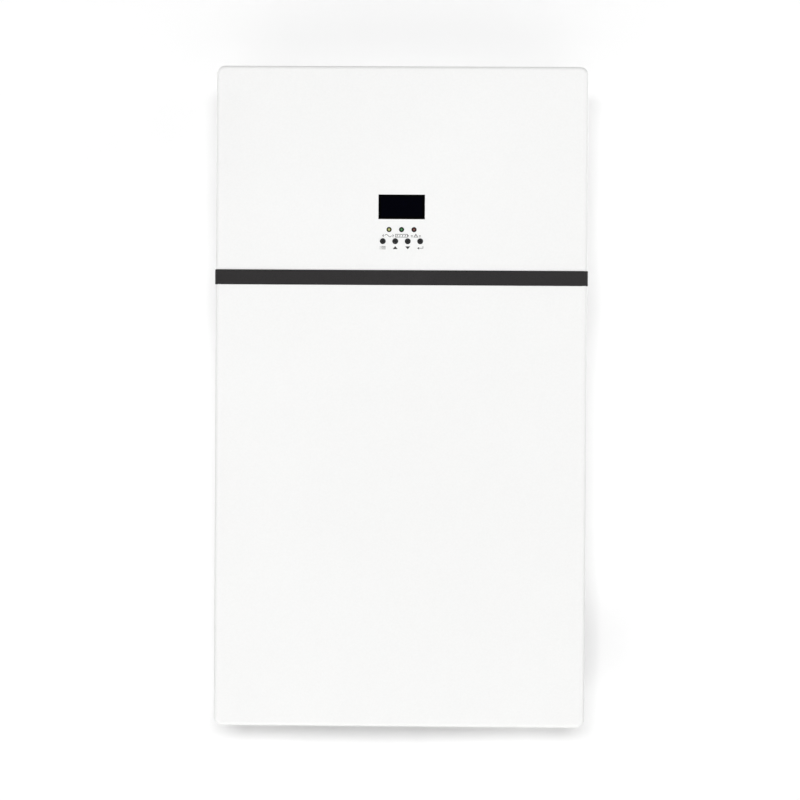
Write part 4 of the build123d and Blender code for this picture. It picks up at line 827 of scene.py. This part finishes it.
# ------------------------------------------------------------------ breakers and switch
LEVERS = ("battery_lever", "ac_input_lever", "ac_output_lever")
LEVER_PIVOT_X = 215.0 * MM
LEVER_TILT = math.radians(35.0)
POLE_OFFSET = 9.0 * MM
BREAKERS_Z = middle("breakers").z


def face_block(shape, centre_y, half_width, zs, depth, lift, edge):
    """Block sunk by depth into the breaker fronts and raised by lift, all in metres."""
    front_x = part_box("breakers")[1][0]
    low = (front_x - depth, centre_y - half_width, BREAKERS_Z + min(zs))
    high = (front_x + lift, centre_y + half_width, BREAKERS_Z + max(zs))
    block(shape, low, high, edge)


def add_breaker_fronts():
    """Pole seams, state windows and blank label plates on the breakers."""
    seams, windows, plates = bmesh.new(), bmesh.new(), bmesh.new()
    for lever in LEVERS:
        lever_y = middle(lever).y
        for way in (-1, 1):
            seam_zs = (way * 10.5 * MM, way * 22.2 * MM)
            face_block(seams, lever_y, 0.3 * MM, seam_zs, 0.4 * MM, 0.05 * MM, 0.02 * MM)
        for pole in (-1, 1):
            pole_y = lever_y + pole * POLE_OFFSET
            window_zs = (-18.0 * MM, -14.6 * MM)
            face_block(windows, pole_y, 3.0 * MM, window_zs, 0.5 * MM, 0.15 * MM, 0.15 * MM)
            plate_zs = (12.6 * MM, 19.4 * MM)
            face_block(plates, pole_y, 6.6 * MM, plate_zs, 0.4 * MM, 0.12 * MM, 0.1 * MM)
    add_piece("breaker_seams", seams, BLACK)
    state = plain_coat("state_window", (0.03, 0.22, 0.07), 0.1, (0.2, 0.3), 900, 0.00001, 60)
    add_piece("breaker_windows", windows, state)
    plate = plain_coat("label_plate", (0.60, 0.60, 0.58), 0.05, (0.4, 0.5), 900, 0.00001, 40)
    add_piece("breaker_plates", plates, plate)


def add_lever_marks():
    """A pale line on both faces of every lever."""
    pale = plain_coat("mark_white", (0.62, 0.62, 0.60), 0.05, (0.4, 0.5), 900, 0.00001, 60)
    for lever in LEVERS:
        lever_middle = middle(lever)
        way = 1 if lever_middle.z > BREAKERS_Z else -1
        along = Vector((math.cos(LEVER_TILT), 0.0, way * math.sin(LEVER_TILT)))
        across = Vector((-way * math.sin(LEVER_TILT), 0.0, math.cos(LEVER_TILT)))
        hub = Vector((LEVER_PIVOT_X, lever_middle.y, BREAKERS_Z))
        shape = bmesh.new()
        for face in (-1, 1):
            spot = hub + along * 11.0 * MM + across * face * 2.5 * MM
            offsets = [
                along * out * MM + Vector((0, reach * MM, 0)) + across * lift * MM
                for out in (-0.5, 0.5) for reach in (-9.0, 9.0) for lift in (-0.05, 0.05)
            ]
            corners = [shape.verts.new(spot + offset) for offset in offsets]
            bmesh.ops.convex_hull(shape, input=corners)
        add_piece(f"{lever}_mark", shape, pale, body=lever)


add_breaker_fronts()
add_lever_marks()


# ------------------------------------------------------------------ comms sockets
SOCKET_PITCH = 22.0 * MM
FRAME_HALF_SIZES = ((6.0, 4.6), (3.2, 2.0))
FRAME_WIRE_R = 0.28 * MM
RIDGE_WIRE_R = 0.22 * MM
RIDGE_HALF_WIDTH = 2.2 * MM


def add_cap_details():
    """Raised frames and pull-tab ridges on the dust caps of the three sockets."""
    low, high = (Vector(corner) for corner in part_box("dust_caps"))
    face_x = high.x - 0.6 * MM
    socket_z = middle("power_switch").z
    middle_y = (low.y + high.y) / 2
    frames = bmesh.new()
    for socket in (-1, 0, 1):
        socket_y = middle_y + socket * SOCKET_PITCH
        for half_width, half_height in FRAME_HALF_SIZES:
            outline = [
                (face_x, socket_y + y * half_width * MM, socket_z + (0.6 + z * half_height) * MM)
                for y, z in ((1, -1), (-1, -1), (-1, 1), (1, 1))
            ]
            swept(frames, outline, (1, 0, 0), wire_section(FRAME_WIRE_R, 8), True)
        for ridge in range(3):
            ridge_z = socket_z - (5.6 + 0.8 * ridge) * MM
            ends = (socket_y - RIDGE_HALF_WIDTH, socket_y + RIDGE_HALF_WIDTH)
            path = [(face_x, end, ridge_z) for end in ends]
            swept(frames, path, (1, 0, 0), wire_section(RIDGE_WIRE_R, 8))
    add_piece("dust_cap_frames", frames, RUBBER)


add_cap_details()


# ------------------------------------------------------------------ cable bay
GLAND_XS = (-55.0 * MM, -5.0 * MM, 45.0 * MM)
SOLAR_XS = (-178.0 * MM, -148.0 * MM, -112.0 * MM)
SOLAR_YS = (-120.0 * MM, -70.0 * MM)
UP = (0, 0, 1)
SOLAR_R = 8.0 * MM
GLAND_SEAL_PROFILE = [
    (0.4, 7.05), (0.0, 7.6), (-0.1, 8.8), (0.3, 9.9), (3.0, 9.9), (3.0, 7.05), (0.4, 7.05),
]
SOLAR_SEAL_PROFILE = [(5.2, 5.9), (4.6, 6.5), (5.2, 7.0), (5.8, 6.5), (5.8, 5.9), (5.2, 5.9)]
PIN_PROFILE = [(-0.3, 0), (-0.3, 1.4), (0.1, 1.9), (0.3, 1.9), (0.3, 0)]


def grip_ribs(shape, x, y, zs, radius, rib_r, count):
    """Straight ribs up the outside of a nut, between two heights."""
    for rib in range(count):
        angle = turn(rib / count)
        spot = (x + radius * math.cos(angle), y + radius * math.sin(angle))
        outwards = (math.cos(angle), math.sin(angle), 0)
        swept(shape, [(*spot, z) for z in zs], outwards, wire_section(rib_r, 6))


def add_bay_details():
    """Grip ribs and seals on the glands, polarity rings, seals and pins on the solar connectors."""
    gland_low, gland_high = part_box("cable_glands")
    gland_y = (gland_low[1] + gland_high[1]) / 2
    ribs, seals, rings, pins = bmesh.new(), bmesh.new(), bmesh.new(), bmesh.new()
    gland_rib_zs = (gland_low[2] + 2.4 * MM, gland_low[2] + 5.0 * MM)
    for gland_x in GLAND_XS:
        grip_ribs(ribs, gland_x, gland_y, gland_rib_zs, 13.9 * MM, 0.55 * MM, 20)
        spot = (gland_x, gland_y, gland_low[2] - 0.05 * MM)
        turned(seals, spot, UP, in_metres(GLAND_SEAL_PROFILE), 40)
    solar_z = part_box("solar_connectors")[0][2]
    solar_rib_zs = (solar_z + 14.0 * MM, solar_z + 26.0 * MM)
    for solar_x in SOLAR_XS:
        for solar_y in SOLAR_YS:
            centre = (solar_x, solar_y, solar_z)
            hoop(rings, (solar_x, solar_y, solar_z + 8.0 * MM), UP, SOLAR_R, 0.7 * MM, 40)
            turned(seals, centre, UP, in_metres(SOLAR_SEAL_PROFILE), 40)
            turned(pins, centre, UP, in_metres(PIN_PROFILE), 24)
            grip_ribs(ribs, solar_x, solar_y, solar_rib_zs, SOLAR_R, 0.5 * MM, 12)
    add_piece("bay_ribs", ribs, BLACK)
    add_piece("bay_seals", seals, RUBBER)
    band = plain_coat("polarity_band", (0.33, 0.02, 0.02), 0.1, (0.35, 0.45), 900, 0.00001, 60)
    add_piece("solar_bands", rings, band)
    add_piece("solar_pins", pins, NODE_FINISHES["ground_stud"])


add_bay_details()


# ------------------------------------------------------------------ rear panel
BEAD_PITCH = 80 * MM
BEAD_HALF_WIDTH = 7 * MM


def add_rear_beads():
    """Pressed stiffening beads down the rear panel, towards the wall."""
    beads = bmesh.new()
    panel_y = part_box("rear_panel")[1][1]
    head_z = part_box("wall_bracket")[0][2] - 60 * MM
    foot_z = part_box("wall_bumpers")[1][2] + 50 * MM
    for column in (-2, -1, 0, 1, 2):
        bead_x = column * BEAD_PITCH
        bead_low = (bead_x - BEAD_HALF_WIDTH, panel_y - 1.5 * MM, foot_z)
        bead_high = (bead_x + BEAD_HALF_WIDTH, panel_y + 1.6 * MM, head_z)
        block(beads, bead_low, bead_high, 1.5 * MM)
    add_piece("rear_beads", beads, POWDER)


add_rear_beads()


# ------------------------------------------------------------------ studio
WALL_REACH = 6.0
WALL_Y = UNIT_HIGH.y + 1 * MM
WALL_ALBEDO = 0.86
WALL_GLOW = 0.07
FLOOR_Z = UNIT_LOW.z - 0.9
FLOOR_GLOW = 0.19
WORLD_LIGHT = 0.175
WHITE = (1.0, 1.0, 1.0, 1.0)
SOFTBOXES = (
    # name, location, (width, height), power in watts
    ("key_light", (0.0, -5.2, 0.45), (1.4, 0.50), 162),
    ("left_light", (-3.2, -2.6, 1.0), (1.6, 1.6), 13),
    ("right_light", (3.2, -2.2, 0.8), (1.6, 1.6), 12),
    ("back_left_light", (-2.4, 3.0, 1.2), (1.8, 1.8), 66),
    ("back_right_light", (2.6, 2.8, 0.6), (1.8, 1.8), 52),
)


def staged_plane(name, corners, material):
    """One flat staged sheet from four corners."""
    mesh = bpy.data.meshes.new(name)
    mesh.from_pydata(corners, [], [(0, 1, 2, 3)])
    mesh.materials.append(material)
    sheet = bpy.data.objects.new(name, mesh)
    bpy.context.scene.collection.objects.link(sheet)
    return sheet


def floor_material():
    """Plain pale studio floor, slightly glowing so that it stays light under the unit."""
    finish = Finish("studio_floor", roughness=0.7)
    grain = finish.noise(30, 4.0)
    finish.colour(finish.ramp(grain, [(0.3, (0.80, 0.80, 0.795)), (0.7, (0.84, 0.84, 0.835))]))
    finish.set(Emission_Color=WHITE, Emission_Strength=FLOOR_GLOW)
    return finish.material


def wall_material():
    """White wall seen from the room and clear from behind, so that the unit's back can be seen."""
    finish = Finish("studio_wall", roughness=0.9, specular=0.0)
    finish.set(Base_Color=(WALL_ALBEDO,) * 3 + (1.0,))
    finish.set(Emission_Color=WHITE, Emission_Strength=WALL_GLOW)
    geometry = finish.tree.nodes.new("ShaderNodeNewGeometry")
    clear = finish.tree.nodes.new("ShaderNodeBsdfTransparent")
    mix = finish.tree.nodes.new("ShaderNodeMixShader")
    finish.link(geometry.outputs["Backfacing"], mix.inputs["Fac"])
    finish.link(finish.shader.outputs["BSDF"], mix.inputs[1])
    finish.link(clear.outputs["BSDF"], mix.inputs[2])
    finish.link(mix.outputs["Shader"], finish.output.inputs["Surface"])
    return finish.material


def add_backdrop():
    """The wall behind the unit, left out of reflections and shadows, and the floor."""
    wall = staged_plane("studio_wall", [
        (-WALL_REACH, WALL_Y, FLOOR_Z), (WALL_REACH, WALL_Y, FLOOR_Z),
        (WALL_REACH, WALL_Y, WALL_REACH), (-WALL_REACH, WALL_Y, WALL_REACH),
    ], wall_material())
    wall.visible_glossy = False
    wall.visible_transmission = False
    wall.visible_shadow = False
    staged_plane("studio_floor", [
        (-WALL_REACH, -WALL_REACH, FLOOR_Z), (WALL_REACH, -WALL_REACH, FLOOR_Z),
        (WALL_REACH, WALL_REACH, FLOOR_Z), (-WALL_REACH, WALL_REACH, FLOOR_Z),
    ], floor_material())


def softbox(name, location, size, power):
    """Rectangular area light, (width, height), that faces the middle of the unit."""
    data = bpy.data.lights.new(name, "AREA")
    data.shape = "RECTANGLE"
    data.size, data.size_y = size
    data.energy = power
    light = bpy.data.objects.new(name, data)
    bpy.context.scene.collection.objects.link(light)
    light.location = location
    direction = UNIT_MIDDLE - Vector(location)
    light.rotation_mode = "QUATERNION"
    light.rotation_quaternion = direction.to_track_quat("-Z", "Y")


def background(tree, strength):
    """White background shader of the world."""
    node = tree.nodes.new("ShaderNodeBackground")
    node.inputs["Strength"].default_value = strength
    node.inputs["Color"].default_value = WHITE
    return node.outputs["Background"]


def add_world():
    """White behind everything, but a weaker light than it looks."""
    world = bpy.data.worlds.new("studio_world")
    bpy.context.scene.world = world
    world.use_nodes = True
    tree = world.node_tree
    tree.nodes.clear()
    output = tree.nodes.new("ShaderNodeOutputWorld")
    paths = tree.nodes.new("ShaderNodeLightPath")
    mix = tree.nodes.new("ShaderNodeMixShader")
    tree.links.new(paths.outputs["Is Camera Ray"], mix.inputs["Fac"])
    tree.links.new(background(tree, WORLD_LIGHT), mix.inputs[1])
    tree.links.new(background(tree, 1.0), mix.inputs[2])
    tree.links.new(mix.outputs["Shader"], output.inputs["Surface"])


add_backdrop()
for box_name, box_location, box_size, box_power in SOFTBOXES:
    softbox(box_name, box_location, box_size, box_power)
bpy.data.objects["key_light"].visible_glossy = False
add_world()
bpy.context.scene.view_settings.view_transform = "Standard"
